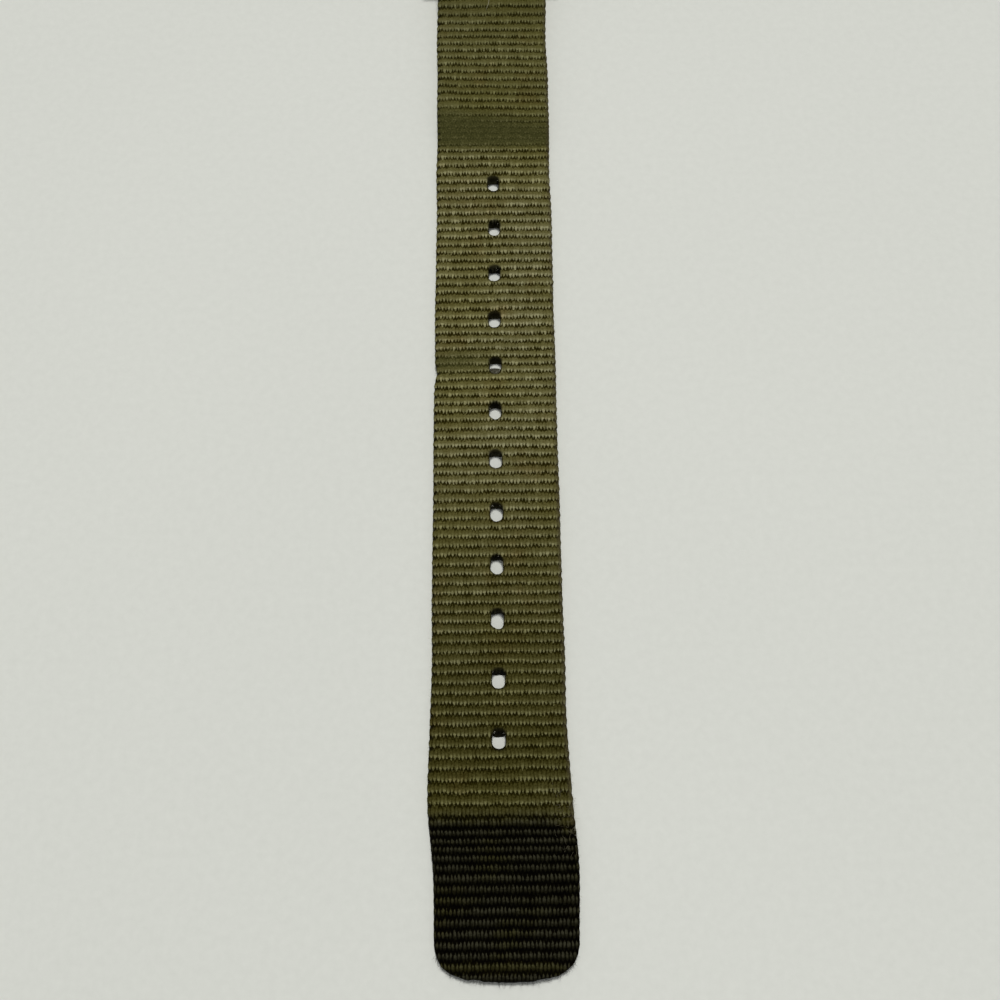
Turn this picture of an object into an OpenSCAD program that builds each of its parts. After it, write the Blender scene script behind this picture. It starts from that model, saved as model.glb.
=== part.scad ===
// Automatic wristwatch on a two-piece ribbed nylon strap, laid out flat.
// The origin is the centre of the case back's outer face.
// +Z points up through the dial, +Y to 12 o'clock and +X to the crown.

/* [Case] */
// Diameter of the case middle
case_d = 37; // [36.5:0.25:39]
// Thickness of the case middle's wall
case_wall = 3.05; // [2.9:0.05:3.15]
// Height of the case middle
case_h = 7.6; // [7.4:0.1:8]
// How far the case back stands proud of the case middle
back_proud = 1; // [0.8:0.05:1.1]
// Width of the bevel round the case middle
case_bevel = 0.8; // [0.4:0.1:1]
// Depth of the flat milled between the lugs
case_flat_depth = 0.9; // [0.7:0.1:1.1]
// Width of the case middle's edge round the case back
back_edge_w = 1.9; // [1.7:0.1:2.2]
// Thickness of the case back's outer flange
back_flange_t = 1.45; // [1.35:0.05:1.5]
// Depth of the case back's threaded neck
back_neck_h = 1; // [0.8:0.1:1.1]
// Width of the case back's rim round the window
back_rim_w = 4.3; // [4.1:0.1:4.6]
// Thickness of the lip that holds the rear window
back_lip_t = 0.3; // [0.2:0.05:0.4]
// Overlap of the rear window behind that lip
back_lip_w = 0.6; // [0.5:0.05:0.7]
// Thickness of the rear window
back_glass_t = 1.25; // [1.15:0.05:1.3]
// Number of key slots in the case back
back_slots = 6; // [4:1:8]
// Width of a key slot
back_slot_w = 1.8; // [1.4:0.1:2.2]
// Depth of a key slot
back_slot_depth = 0.4; // [0.3:0.05:0.5]
// Width of the gaskets
gasket_w = 0.35; // [0.3:0.05:0.4]

/* [Lugs and spring bars] */
// Gap between the strap and a lug
lug_play = 0.15; // [0.1:0.05:0.3]
// Length of a lug past the case middle
lug_l = 4.1; // [3.8:0.1:4.7]
// Width of a lug at its root
lug_root_w = 4; // [3.6:0.1:4.4]
// Width of a lug at its tip
lug_tip_w = 2.4; // [2:0.1:2.8]
// Thickness of a lug at its tip
lug_tip_t = 2.4; // [2:0.1:2.8]
// Distance from the flat between the lugs to a spring bar
bar_gap = 2.5; // [2.4:0.05:2.7]
// Height of the spring bars
bar_z = 3.6; // [3.4:0.05:3.8]
// Diameter of a spring bar's tube
bar_d = 1.5; // [1.4:0.05:1.6]
// Diameter of a spring bar's pin
bar_pin_d = 0.8; // [0.7:0.05:0.9]
// Depth of a pin in its lug
bar_pin_bite = 1.1; // [0.9:0.1:1.2]
// Length of a pin inside the tube
bar_pin_tail = 2.6; // [2.2:0.1:3]

/* [Bezel and crystal] */
// Height of the bezel
bezel_h = 2; // [1.9:0.05:2.2]
// Width of the step from the case middle in to the bezel
bezel_step = 0.8; // [0.7:0.05:1]
// Width of the bevel round the bezel
bezel_bevel = 1; // [0.6:0.1:1.1]
// Height of the lip that carries the crystal
bezel_lip_h = 0.75; // [0.7:0.05:0.8]
// Width of the bezel round the crystal
bezel_rim_w = 2.1; // [2:0.05:2.2]
// Thickness of the crystal at its edge
crystal_edge_t = 1.35; // [1.2:0.05:1.5]
// Rise of the crystal's dome
crystal_dome = 0.5; // [0.3:0.05:0.6]

/* [Dial and hands] */
// Gap between the dial and the bore of the case
dial_gap = 0.45; // [0.35:0.05:0.65]
// Thickness of the dial
dial_t = 0.4; // [0.3:0.05:0.4]
// Space under the dial for the date ring and motion work
under_dial = 0.7; // [0.68:0.02:0.8]
// Height of the sloping chapter ring
chapter_h = 1.25; // [1.1:0.05:1.3]
// Width of the chapter ring at its foot
chapter_w = 1; // [0.8:0.1:1.1]
// Length of an hour marker
marker_l = 1.6; // [1.2:0.1:1.8]
// Width of an hour marker
marker_w = 0.8; // [0.6:0.1:1]
// Height of an hour marker
marker_h = 0.25; // [0.15:0.05:0.25]
// Distance from the dial's edge to a marker
marker_inset = 1.4; // [1.2:0.1:1.6]
// Width of the date window
date_window_w = 2; // [1.8:0.1:2]
// Height of the date window
date_window_h = 1.7; // [1.4:0.1:1.9]
// Hour shown by the hands
shown_hour = 10; // [0:1:11]
// Minute shown by the hands
shown_minute = 8; // [0:1:59]
// Second shown by the hands
shown_second = 36; // [0:1:59]
// Length of the hour hand
hour_hand_l = 7.8; // [7:0.1:8.4]
// Length of the minute hand
minute_hand_l = 11.8; // [11:0.1:12.4]
// Length of the seconds hand
seconds_hand_l = 13.2; // [12:0.1:13.6]
// Length of the seconds hand's tail
seconds_tail_l = 4; // [3:0.1:4.6]
// Width of the hour hand
hour_hand_w = 1.5; // [1.2:0.1:1.7]
// Width of the minute hand
minute_hand_w = 1.15; // [0.9:0.05:1.3]
// Width of the seconds hand
seconds_hand_w = 0.28; // [0.22:0.02:0.4]
// Thickness of the hands
hand_t = 0.15; // [0.12:0.01:0.16]

/* [Movement plates] */
// Diameter of the main plate that the sizes of the wheels and hands are given for
plate_ref_d = 26; // [25.8:0.1:26.1]
// Width of the ring that holds the movement in the case
ring_w = 2.45; // [2.4:0.05:2.55]
// Thickness of the main plate
plate_t = 1.7; // [1.65:0.05:1.8]
// Thickness of the bridges
bridge_t = 0.7; // [0.6:0.05:0.7]
// Thickness of the balance cock's arm
cock_t = 0.6; // [0.5:0.05:0.6]
// Thickness of the pallet bridge
pallet_bridge_t = 0.25; // [0.2:0.01:0.26]
// Diameter of a jewel
jewel_d = 0.9; // [0.8:0.05:1]
// Thickness of a jewel
jewel_t = 0.4; // [0.3:0.05:0.45]
// Diameter of a wheel's pivot
pivot_d = 0.2; // [0.16:0.02:0.22]
// Diameter of an arbor
arbor_d = 0.4; // [0.34:0.02:0.44]
// Diameter of a bridge screw's head
screw_head_d = 1.3; // [1.1:0.05:1.4]
// Diameter of a bridge screw's shank
screw_d = 0.6; // [0.5:0.05:0.7]
// Height of a bridge screw's head
screw_head_h = 0.35; // [0.3:0.05:0.4]
// Diameter of a bridge pillar
pillar_d = 1.8; // [1.7:0.05:1.9]
// Angle of the line from the centre to the barrel
barrel_at = 75; // [72:1:80]
// Angle of the line from the centre to the balance
escape_at = 215; // [212:1:218]
// Angle of the line from the centre to the third wheel
third_at = 300; // [296:1:304]
// Angle of the line from the centre to the minute wheel
minute_at = 160; // [150:1:170]

/* [Going train] */
// Thickness of the train's wheels
wheel_t = 0.15; // [0.12:0.01:0.16]
// Teeth of the barrel
barrel_teeth = 84; // [78:1:90]
// Teeth of the centre pinion
centre_pinion_teeth = 12; // [12:1:12]
// Tooth module of the barrel and centre pinion
barrel_module = 0.135; // [0.13:0.001:0.138]
// Height of the barrel's drum
barrel_h = 1.6; // [1.5:0.05:1.6]
// Height of the barrel's toothed rim
barrel_rim_h = 0.45; // [0.35:0.05:0.5]
// Wall thickness of the barrel's drum
barrel_wall = 0.3; // [0.2:0.05:0.4]
// Diameter of the barrel arbor's core
barrel_core_d = 2; // [1.8:0.1:2.2]
// Turns of the mainspring
mainspring_turns = 7; // [6:1:7]
// Thickness of the mainspring's strip
mainspring_t = 0.1; // [0.08:0.01:0.12]
// Teeth of the centre wheel
centre_teeth = 80; // [76:1:84]
// Teeth of the third pinion
third_pinion_teeth = 10; // [9:1:10]
// Distance from the centre to the third wheel
third_distance = 4.5; // [4.46:0.01:4.52]
// Teeth of the third wheel
third_teeth = 75; // [72:1:80]
// Teeth of the fourth pinion
fourth_pinion_teeth = 10; // [10:1:10]
// Teeth of the fourth wheel
fourth_teeth = 84; // [80:1:86]
// Teeth of the escape pinion
escape_pinion_teeth = 7; // [7:1:7]
// Tooth module of the fourth wheel and escape pinion
fourth_module = 0.097; // [0.096:0.0005:0.098]
// Width of a wheel's rim under its teeth
rim_w = 0.35; // [0.3:0.05:0.45]
// Width of a wheel's spoke
spoke_w = 0.35; // [0.3:0.05:0.45]

/* [Motion work] */
// Teeth of the cannon pinion
cannon_teeth = 12; // [12:1:12]
// Teeth of the minute wheel
minute_teeth = 36; // [36:1:36]
// Teeth of the minute pinion
minute_pinion_teeth = 10; // [10:1:10]
// Teeth of the hour wheel
hour_teeth = 40; // [40:1:40]
// Tooth module of the cannon pinion and minute wheel
cannon_module = 0.12; // [0.118:0.001:0.124]
// Outer diameter of the cannon pinion's tube
cannon_tube_d = 1.14; // [1.1:0.02:1.16]
// Wall thickness of the hour wheel's tube
hour_tube_wall = 0.2; // [0.16:0.01:0.22]
// Teeth inside the date ring
date_teeth = 31; // [31:1:31]
// Distance from the main plate's edge to the date ring
date_ring_inset = 0.4; // [0.35:0.05:0.5]
// Width of the date ring
date_ring_w = 2.3; // [2.2:0.1:2.4]
// Thickness of the date ring
date_ring_t = 0.25; // [0.2:0.01:0.28]

/* [Escapement] */
// Teeth of the escape wheel
escape_teeth = 15; // [15:1:15]
// Diameter of the escape wheel
escape_d = 4; // [3.9:0.05:4.1]
// Thickness of the pallet fork
fork_t = 0.25; // [0.2:0.01:0.26]
// Swing of the pallet fork to each side
fork_swing = 5; // [4:0.5:5]
// Distance from the pallet fork to the balance
fork_to_balance = 2.8; // [2.76:0.02:2.84]
// Diameter of the balance wheel
balance_d = 6.6; // [6.2:0.05:6.7]
// Thickness of the balance wheel
balance_t = 0.4; // [0.36:0.01:0.42]
// Radial width of the balance's rim
balance_rim_w = 0.55; // [0.45:0.05:0.65]
// Distance from the balance staff to the impulse pin
impulse_r = 0.5; // [0.46:0.01:0.52]
// Diameter of the impulse pin
impulse_d = 0.18; // [0.14:0.01:0.2]
// Turn of the modelled balance from its point of rest
balance_phase = 120; // [100:5:140]
// Turns of the hairspring
hairspring_turns = 5; // [4:1:5]
// Distance between the hairspring's turns
hairspring_pitch = 0.48; // [0.46:0.01:0.5]
// Thickness of the hairspring's strip
hairspring_t = 0.06; // [0.05:0.01:0.07]
// Height of the hairspring's strip
hairspring_h = 0.15; // [0.12:0.01:0.16]

/* [Automatic winding] */
// Distance from the main plate's edge to the rotor
rotor_inset = 0.5; // [0.3:0.1:0.7]
// Height of the rotor's rim
rotor_rim_h = 0.9; // [0.86:0.02:0.96]
// Radial width of the rotor's rim
rotor_rim_w = 1.7; // [1.4:0.1:1.8]
// Thickness of the rotor's web
rotor_web_t = 0.3; // [0.26:0.01:0.32]
// Diameter of the bearing post
bearing_d = 1.6; // [1.4:0.05:1.7]
// Diameter of the bearing post's head
bearing_head_d = 3; // [2.8:0.1:3.2]
// Teeth of the rotor's gear
rotor_teeth = 32; // [32:1:32]
// Teeth of the reversing wheel
reverser_teeth = 40; // [40:1:40]
// Teeth of the reversing wheel's pinion
reverser_pinion_teeth = 10; // [10:1:10]
// Teeth of the ratchet wheel
ratchet_teeth = 62; // [62:1:62]
// Tooth module of the winding gears
winding_module = 0.1; // [0.098:0.001:0.101]

/* [Crown] */
// Diameter of the crown
crown_d = 6; // [5.6:0.1:6.4]
// Length of the crown
crown_l = 3; // [2.8:0.1:3.4]
// Grooves round the crown
crown_grooves = 28; // [24:1:32]
// Depth of a groove
crown_groove_depth = 0.22; // [0.16:0.02:0.26]
// Gap between the crown and the case
crown_gap = 0.25; // [0.2:0.05:0.4]
// Diameter of the crown tube
crown_tube_d = 2; // [1.9:0.05:2.1]
// Length of the crown tube outside the case
crown_tube_l = 2.1; // [2:0.05:2.2]
// Diameter of the winding stem
stem_d = 0.9; // [0.84:0.02:0.96]
// Depth of the winding stem's end in the main plate
stem_depth = 4.4; // [4.2:0.1:4.5]
// Diameter of the pinions on the stem
stem_pinion_d = 1.56; // [1.5:0.02:1.6]
// Teeth of the winding pinion
stem_pinion_teeth = 12; // [11:1:13]
// Length of the sliding pinion
sliding_pinion_l = 1.3; // [1.2:0.05:1.4]
// Length of the winding pinion
winding_pinion_l = 1; // [0.9:0.05:1.1]

/* [Strap] */
// Width of the strap
strap_w = 18; // [17.8:0.05:18.1]
// Thickness of one layer of webbing
webbing_t = 1.25; // [1.15:0.05:1.3]
// Radius of the loops round the spring bars
loop_r = 2.1; // [2.05:0.05:2.2]
// Distance from the spring bar to the start of the flat run
bend_l = 13; // [11:0.5:15]
// Distance from the case centre to the end of the folded layers
fold_end_y = 48.5; // [47.5:0.5:49.5]
// Length of the welded band where the fold ends
weld_l = 7.6; // [7:0.2:8]
// Distance from the case centre to the end of the tail
tail_end_y = 174.1; // [171.5:0.5:176.5]
// Radius of the flat arc at the end of the tail
tip_arc_r = 28; // [20:1:40]
// Radius of the tail's two corners
tip_corner_r = 4; // [3:0.2:5]
// Distance from the case centre to the first hole
hole_y = 61.9; // [60.5:0.2:62.5]
// Distance between holes
hole_pitch = 7.63; // [7:0.05:7.8]
// Number of holes
hole_count = 12; // [8:1:13]
// Width of a hole across the strap
hole_w = 1.75; // [1.5:0.05:2]
// Length of a hole along the strap
hole_l = 2.7; // [2.3:0.1:3]
// Height of the buckle side above the ground
short_lift = 1.2; // [1.15:0.05:1.3]
// Distance from the case centre to the buckle's bar
buckle_y = 98; // [96:0.5:102]
// Length of the fold at the buckle
buckle_fold_l = 26; // [24:0.5:28]
// Width of the slot for the buckle's tongue
tongue_slot_w = 2.8; // [2.6:0.1:3]
// Length of the slot for the buckle's tongue
tongue_slot_l = 5; // [4.6:0.1:6]
// Thickness of a keeper
keeper_t = 1.1; // [1:0.02:1.1]
// Width of a keeper along the strap
keeper_w = 6; // [5:0.5:6.5]
// Height inside a keeper
keeper_h = 4; // [3.9:0.1:4.4]
// Distance from the case centre to the middle of the fixed keeper
fixed_keeper_y = 86; // [85:0.5:88]
// Distance from the case centre to the middle of the free keeper
free_keeper_y = 66; // [62:0.5:70]

/* [Buckle] */
// Gap between the strap and the side of the buckle's frame
buckle_play = 0.3; // [0.2:0.05:0.5]
// Length of the buckle's opening past its bar
buckle_in_l = 7.4; // [7:0.1:8.4]
// Width of the buckle's frame
buckle_frame_w = 2.2; // [2:0.1:2.6]
// Thickness of the buckle's frame
buckle_frame_t = 2; // [1.8:0.1:2.2]
// Radius of the buckle's outer corners
buckle_corner_r = 2.4; // [2:0.1:2.8]
// Width of the buckle's tongue
tongue_w = 1.6; // [1.4:0.05:1.7]
// Thickness of the buckle's tongue
tongue_t = 0.9; // [0.8:0.05:1]
// Length of the tongue past the frame
tongue_over = 0.6; // [0.4:0.1:0.8]

/* [Clearances] */
// Gap round a turning arbor, pinion or tube
turn_gap = 0.06; // [0.05:0.005:0.07]
// Gap round a turning wheel
wheel_gap = 0.1; // [0.1:0.01:0.12]
// Gap between the rotor and the parts next to it
rotor_gap = 0.15; // [0.14:0.01:0.18]
// Gap between case parts that drop into each other
case_gap = 0.04; // [0.03:0.01:0.05]
// Gap between the strap and the metal round it
strap_gap = 0.12; // [0.1:0.01:0.14]

/* [Hidden] */
$fn = 72;

// Diameters and distances that follow the case
case_bore_d = case_d - 2 * case_wall;
case_flat_y = case_d / 2 - case_flat_depth;
back_flange_d = case_d - 2 * back_edge_w;
back_window_d = back_flange_d - 2 * back_rim_w;
lug_reach = case_d / 2 + lug_l;
bar_y = case_flat_y + bar_gap;
bezel_d = case_d - 2 * bezel_step;
crystal_d = bezel_d - 2 * bezel_rim_w;
dial_d = case_bore_d - 2 * dial_gap;
marker_reach = dial_d / 2 - marker_inset;
plate_d = case_bore_d - 2 * ring_w;
date_ring_d = plate_d - 2 * date_ring_inset;
rotor_d = plate_d - 2 * rotor_inset;
stem_start = plate_d / 2 - stem_depth;

// Widths that follow the strap
lug_gap = strap_w + 2 * lug_play;
buckle_in_w = strap_w + 2 * buckle_play;

// Sizes in plan that follow the main plate
plan = plate_d / plate_ref_d;
barrel_m = barrel_module * plan;
third_r = third_distance * plan;
fourth_m = fourth_module * plan;
cannon_m = cannon_module * plan;
winding_m = winding_module * plan;
escape_r = escape_d * plan / 2;
fork_l = fork_to_balance * plan;
balance_r = balance_d * plan / 2;
hour_hand_r = hour_hand_l * plan;
minute_hand_r = minute_hand_l * plan;
seconds_hand_r = seconds_hand_l * plan;
seconds_tail_r = seconds_tail_l * plan;

// Heights, from the case back's face upwards
rotor_z = back_glass_t + rotor_gap + 0.05;
rotor_top = rotor_z + rotor_rim_h;
bridge_z = rotor_top + rotor_gap;
bridge_top = bridge_z + bridge_t;
third_z = bridge_top + 0.25;
fourth_z = third_z + wheel_t + 0.25;
centre_z = fourth_z + wheel_t + 0.35;
barrel_z = centre_z + wheel_t + 0.2;
escape_z = centre_z + wheel_t + 0.25;
plate_z = barrel_z + barrel_rim_h + 0.06;
plate_top = plate_z + plate_t;
fork_z = escape_z - 0.05;
pallet_bridge_z = fork_z - 0.3 - pallet_bridge_t;
balance_z = pallet_bridge_z - 0.22 - balance_t;
hairspring_z = bridge_z + cock_t + 0.08;
dial_z = plate_top + under_dial;
dial_top = dial_z + dial_t;
case_top = back_proud + case_h;
bezel_top = case_top + bezel_h;
crystal_z = case_top + bezel_lip_h + case_gap;
work_z = plate_top - 0.2;
stem_z = plate_z + plate_t / 2;

// Plan positions in the movement
barrel_distance = (barrel_teeth + centre_pinion_teeth) * barrel_m / 2;
centre_module = 2 * third_r / (centre_teeth + third_pinion_teeth);
third_module = 2 * third_r / (third_teeth + fourth_pinion_teeth);
escape_distance = (fourth_teeth + escape_pinion_teeth) * fourth_m / 2;
pallet_distance = escape_distance + escape_r / cos(30) + 0.03;
balance_distance = pallet_distance + fork_l;
minute_distance = (cannon_teeth + minute_teeth) * cannon_m / 2;
hour_module = 2 * minute_distance / (minute_pinion_teeth + hour_teeth);
reverser_distance = (rotor_teeth + reverser_teeth) * winding_m / 2;
ratchet_distance = (ratchet_teeth + reverser_pinion_teeth) * winding_m / 2;
reverser_turn = acos((barrel_distance ^ 2 + reverser_distance ^ 2 - ratchet_distance ^ 2)
    / (2 * barrel_distance * reverser_distance));
reverser_at = barrel_at - reverser_turn;
barrel_p = polar(barrel_distance, barrel_at);
third_p = polar(third_r, third_at);
escape_p = polar(escape_distance, escape_at);
pallet_p = polar(pallet_distance, escape_at);
balance_p = polar(balance_distance, escape_at);
minute_p = polar(minute_distance, minute_at);
reverser_p = polar(reverser_distance, reverser_at);
cock_foot_p = polar(plate_d / 2 - 1.5, escape_at - 27);
bridge_r = plate_d / 2 - 0.1;
bridge_split_y = 1;
centre_boss_r = bearing_head_d / 2 + 0.15;
barrel_drum_r = barrel_teeth * barrel_m / 2 - 0.42;
barrel_pillars = [for (a = [25, 132]) polar(plate_d / 2 - 1.2, a)];
train_pillars = [for (a = [-22, -72, -104]) polar(plate_d / 2 - 1.2, a)];
pallet_screws = [[0, 2.2], [0, -2.2]];
fourth_arbor_r = 0.12;
centre_tube_r = fourth_arbor_r + turn_gap + 0.02;
cannon_bore_r = centre_tube_r + 0.16;
cannon_r = cannon_tube_d * plan / 2;
hour_bore_r = cannon_r + turn_gap;
hour_tube_r = hour_bore_r + hour_tube_wall;
hole_end_y = hole_y + (hole_count - 1) * hole_pitch;
date_window_x = date_ring_d / 2 - date_ring_w / 2;
hour_hand_z = dial_top + marker_h + 0.1;
minute_hand_z = hour_hand_z + hand_t + 0.13;
seconds_hand_z = minute_hand_z + hand_t + 0.13;
hour_angle = 90 - 30 * (shown_hour + shown_minute / 60);
minute_angle = 90 - 6 * (shown_minute + shown_second / 60);
second_angle = 90 - 6 * shown_second;
crown_x = case_d / 2 + crown_gap;
crown_bore_l = crown_tube_l - crown_gap + 0.1;
crown_seal_r = crown_tube_d / 2 + turn_gap;
sliding_x = stem_start + 0.3;
winding_x = sliding_x + sliding_pinion_l + 0.05;
pocket_end = winding_x + winding_pinion_l + wheel_gap;
buckle_z = short_lift + webbing_t;
loop_hole_r = bar_d / 2 + strap_gap;
tongue_top_z = buckle_z + buckle_frame_t / 2;

// A point at a distance and an angle from the centre
function polar(r, a) = [r * cos(a), r * sin(a)];

// A smooth step from 0 to 1
function ease(t) = t <= 0 ? 0 : t >= 1 ? 1 : t * t * (3 - 2 * t);

// The angle of one tooth on a gear that meshes with a gear of n1 teeth, whose tooth is at a1
function mesh_angle(line, a1, n1, n2) = line + 180 + ((line - a1) * n1 / 360 + 0.5) * 360 / n2;

// The outline of a gear: four corners to each tooth
function gear_points(teeth, module_size, addendum = 0.95, dedendum = 1.25) = [
    for (i = [0:teeth - 1], c = [[-0.27, -dedendum], [-0.13, addendum], [0.13, addendum], [0.27, -dedendum]])
        polar(teeth * module_size / 2 + c[1] * module_size, (i + c[0]) * 360 / teeth)
];

// The outline of a flat spiral strip
function spiral_points(r0, pitch, turns, thickness, steps) = concat(
    [for (i = [0:turns * steps]) polar(r0 + pitch * i / steps + thickness, 360 * i / steps)],
    [for (i = [turns * steps:-1:0]) polar(r0 + pitch * i / steps, 360 * i / steps)]
);

module at(p) {
    translate([p[0], p[1], 0]) children();
}

module disc(r, z0, z1) {
    translate([0, 0, z0]) cylinder(h = z1 - z0, r = r);
}

module ring(r_out, r_in, z0, z1) {
    translate([0, 0, z0]) linear_extrude(z1 - z0) difference() {
        circle(r_out);
        circle(r_in);
    }
}

// A round-ended bar between two points
module link(p, q, r) {
    d = q - p;
    translate(p) circle(r);
    translate(q) circle(r);
    translate(p) rotate(atan2(d[1], d[0])) translate([0, -r]) square([norm(d), 2 * r]);
}

// A rectangle with round corners, centred
module round_rect(w, l, r) {
    square([w - 2 * r, l], center = true);
    square([w, l - 2 * r], center = true);
    for (x = [-1, 1], y = [-1, 1]) translate([x * (w / 2 - r), y * (l / 2 - r)]) circle(r);
}

// A gear, a rim and spokes in plan
module spoked_gear(teeth, module_size, hub_r, spokes, angle) {
    rim_r = teeth * module_size / 2 - 1.25 * module_size - rim_w;
    rotate(angle) difference() {
        polygon(gear_points(teeth, module_size));
        difference() {
            circle(rim_r);
            circle(hub_r);
            for (i = [0:spokes - 1]) rotate((i + 0.5) * 360 / spokes)
                translate([0, -spoke_w / 2]) square([rim_r + 1, spoke_w]);
        }
    }
}

module pinion(teeth, module_size, angle, z0, z1) {
    translate([0, 0, z0]) linear_extrude(z1 - z0) rotate(angle)
        polygon(gear_points(teeth, module_size, 0.9, 1.15));
}

// An arbor with a thin pivot at each end
module arbor(z0, z1) {
    disc(arbor_d / 2, z0 + jewel_t * 0.15, z1 - jewel_t * 0.15);
    disc(pivot_d / 2, z0 - jewel_t * 0.8, z1 + jewel_t * 0.8);
}

// One lug in place at the crown side of 12 o'clock
module lug() {
    root_y = case_d / 2 - 5.5;
    root_z = case_top - 0.3;
    drop = root_z - lug_tip_t - 0.7;
    function crest(y) = root_z - drop * ((y - root_y) / (lug_reach - root_y)) ^ 2;
    steps = 12;
    side = concat(
        [[root_y, back_proud + 0.05]],
        [for (i = [0:steps]) let (y = root_y + (lug_reach - root_y) * i / steps) [y, crest(y)]],
        [[lug_reach - 0.3, 0.7], [lug_reach - 1.2, 0.5], [case_flat_y - 0.8, back_proud + 0.05]]
    );
    intersection() {
        translate([lug_gap / 2, 0, 0]) rotate([90, 0, 90]) linear_extrude(lug_root_w + 1) polygon(side);
        linear_extrude(case_top + 1) polygon([
            [lug_gap / 2, root_y - 1],
            [lug_gap / 2, lug_reach + 1],
            [lug_gap / 2 + lug_tip_w, lug_reach + 1],
            [lug_gap / 2 + lug_tip_w, lug_reach - 1.5],
            [lug_gap / 2 + lug_root_w, root_y + 0.8],
            [lug_gap / 2 + lug_root_w, root_y - 1]
        ]);
    }
}

module case_middle() {
    r = case_d / 2;
    seat_r = back_flange_d / 2 + case_gap;
    color("silver") difference() {
        union() {
            rotate_extrude() polygon([
                [0, back_proud],
                [r - 1.5 * case_bevel, back_proud],
                [r, back_proud + 1.5 * case_bevel],
                [r, case_top - case_bevel],
                [r - case_bevel, case_top],
                [0, case_top]
            ]);
            for (x = [0, 1], y = [0, 1]) mirror([x, 0, 0]) mirror([0, y, 0]) lug();
        }
        disc(case_bore_d / 2, -1, case_top + 1);
        disc(seat_r, -1, back_flange_t);
        for (s = [0, 1]) mirror([0, s, 0]) translate([-lug_gap / 2, case_flat_y, -1])
            cube([lug_gap, 10, case_top + 2]);
        for (y = [-1, 1]) translate([-lug_gap, y * bar_y, bar_z]) rotate([0, 90, 0])
            cylinder(h = 2 * lug_gap, r = bar_pin_d / 2 + turn_gap);
        translate([r - 5, 0, stem_z]) rotate([0, 90, 0]) cylinder(h = 8, r = crown_tube_d / 2);
    }
}

module bezel() {
    foot_r = bezel_d / 2;
    seat_r = crystal_d / 2 + gasket_w + case_gap;
    color("silver") rotate_extrude() polygon([
        [case_bore_d / 2 - 0.2, case_top],
        [foot_r, case_top],
        [foot_r, case_top + bezel_h - bezel_bevel],
        [foot_r - bezel_bevel * 0.7, bezel_top],
        [seat_r, bezel_top],
        [seat_r, case_top + bezel_lip_h],
        [case_bore_d / 2 - 0.2, case_top + bezel_lip_h]
    ]);
}

module crystal() {
    r = crystal_d / 2;
    steps = 16;
    color("lightcyan", 0.4) rotate_extrude() polygon(concat(
        [[0, crystal_z], [r, crystal_z]],
        [for (i = [steps:-1:0]) let (x = r * i / steps)
            [x, crystal_z + crystal_edge_t + crystal_dome * (1 - (x / r) ^ 2)]]
    ));
}

module case_gaskets() {
    window_r = back_window_d / 2 + back_lip_w;
    color("black") {
        ring(crystal_d / 2 + gasket_w, crystal_d / 2, crystal_z, bezel_top - 0.1);
        ring(window_r + gasket_w, window_r, back_lip_t + case_gap, back_glass_t);
        ring(
            back_flange_d / 2 - 0.3, back_flange_d / 2 - 0.3 - gasket_w,
            back_flange_t - gasket_w, back_flange_t - case_gap / 2
        );
    }
}

module chapter_ring() {
    r = case_bore_d / 2 - 0.3;
    color("dimgray") rotate_extrude() polygon([
        [r - chapter_w, dial_top],
        [r, dial_top],
        [r, min(dial_top + chapter_h, crystal_z - case_gap)],
        [r - 0.25, min(dial_top + chapter_h, crystal_z - case_gap)]
    ]);
}

module dial() {
    color([0.09, 0.1, 0.08]) translate([0, 0, dial_z]) linear_extrude(dial_t) difference() {
        circle(dial_d / 2);
        circle(hour_tube_r + wheel_gap);
        translate([date_window_x, 0]) square([date_window_w, date_window_h], center = true);
    }
}

module hour_markers() {
    color("ivory") for (i = [1:12]) rotate(90 - 30 * i)
        translate([marker_reach - marker_l / 2, 0, dial_top + marker_h / 2])
        cube([marker_l * (i == 3 ? 0.4 : 1), marker_w * (i % 3 == 0 ? 1.3 : 1), marker_h], center = true);
}

module case_back() {
    window_r = back_window_d / 2 + back_lip_w + gasket_w + case_gap;
    neck_r = case_bore_d / 2 - case_gap;
    color("silver") difference() {
        union() {
            disc(back_flange_d / 2, 0, back_flange_t);
            disc(neck_r, 0, back_flange_t + back_neck_h);
        }
        disc(back_window_d / 2, -1, back_flange_t + back_neck_h + 1);
        disc(window_r, back_lip_t, back_flange_t + back_neck_h + 1);
        translate([0, 0, back_flange_t - gasket_w - case_gap / 2]) linear_extrude(gasket_w + 1) difference() {
            circle(back_flange_d / 2 - 0.3 + case_gap / 2);
            circle(back_flange_d / 2 - 0.3 - gasket_w - case_gap / 2);
        }
        for (i = [0:back_slots - 1]) rotate(i * 360 / back_slots + 15)
            translate([back_flange_d / 2 - 1.6, -back_slot_w / 2, -1])
            cube([3, back_slot_w, 1 + back_slot_depth]);
    }
}

module back_window() {
    color("lightcyan", 0.4) union() {
        disc(back_window_d / 2 - case_gap, 0, back_glass_t);
        disc(back_window_d / 2 + back_lip_w, back_lip_t + case_gap, back_glass_t);
    }
}

module crown_tube() {
    start = case_bore_d / 2 + 0.1;
    color("silver") translate([start, 0, stem_z]) rotate([0, 90, 0])
        ring(crown_tube_d / 2, stem_d / 2 + turn_gap + 0.04, 0, case_d / 2 + crown_tube_l - start);
}

module movement_ring() {
    r = case_bore_d / 2 - case_gap;
    color("whitesmoke") difference() {
        ring(r, plate_d / 2 + case_gap, back_flange_t + back_neck_h + case_gap, dial_z);
        translate([plate_d / 2 - 1, 0, stem_z]) rotate([0, 90, 0]) cylinder(h = 5, r = stem_d / 2 + 0.25);
    }
}

// A pivot's jewel and the hole that it sits in
module jewel_bore(p, z0, z1) {
    at(p) disc(jewel_d / 2, z0, z1);
}

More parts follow.
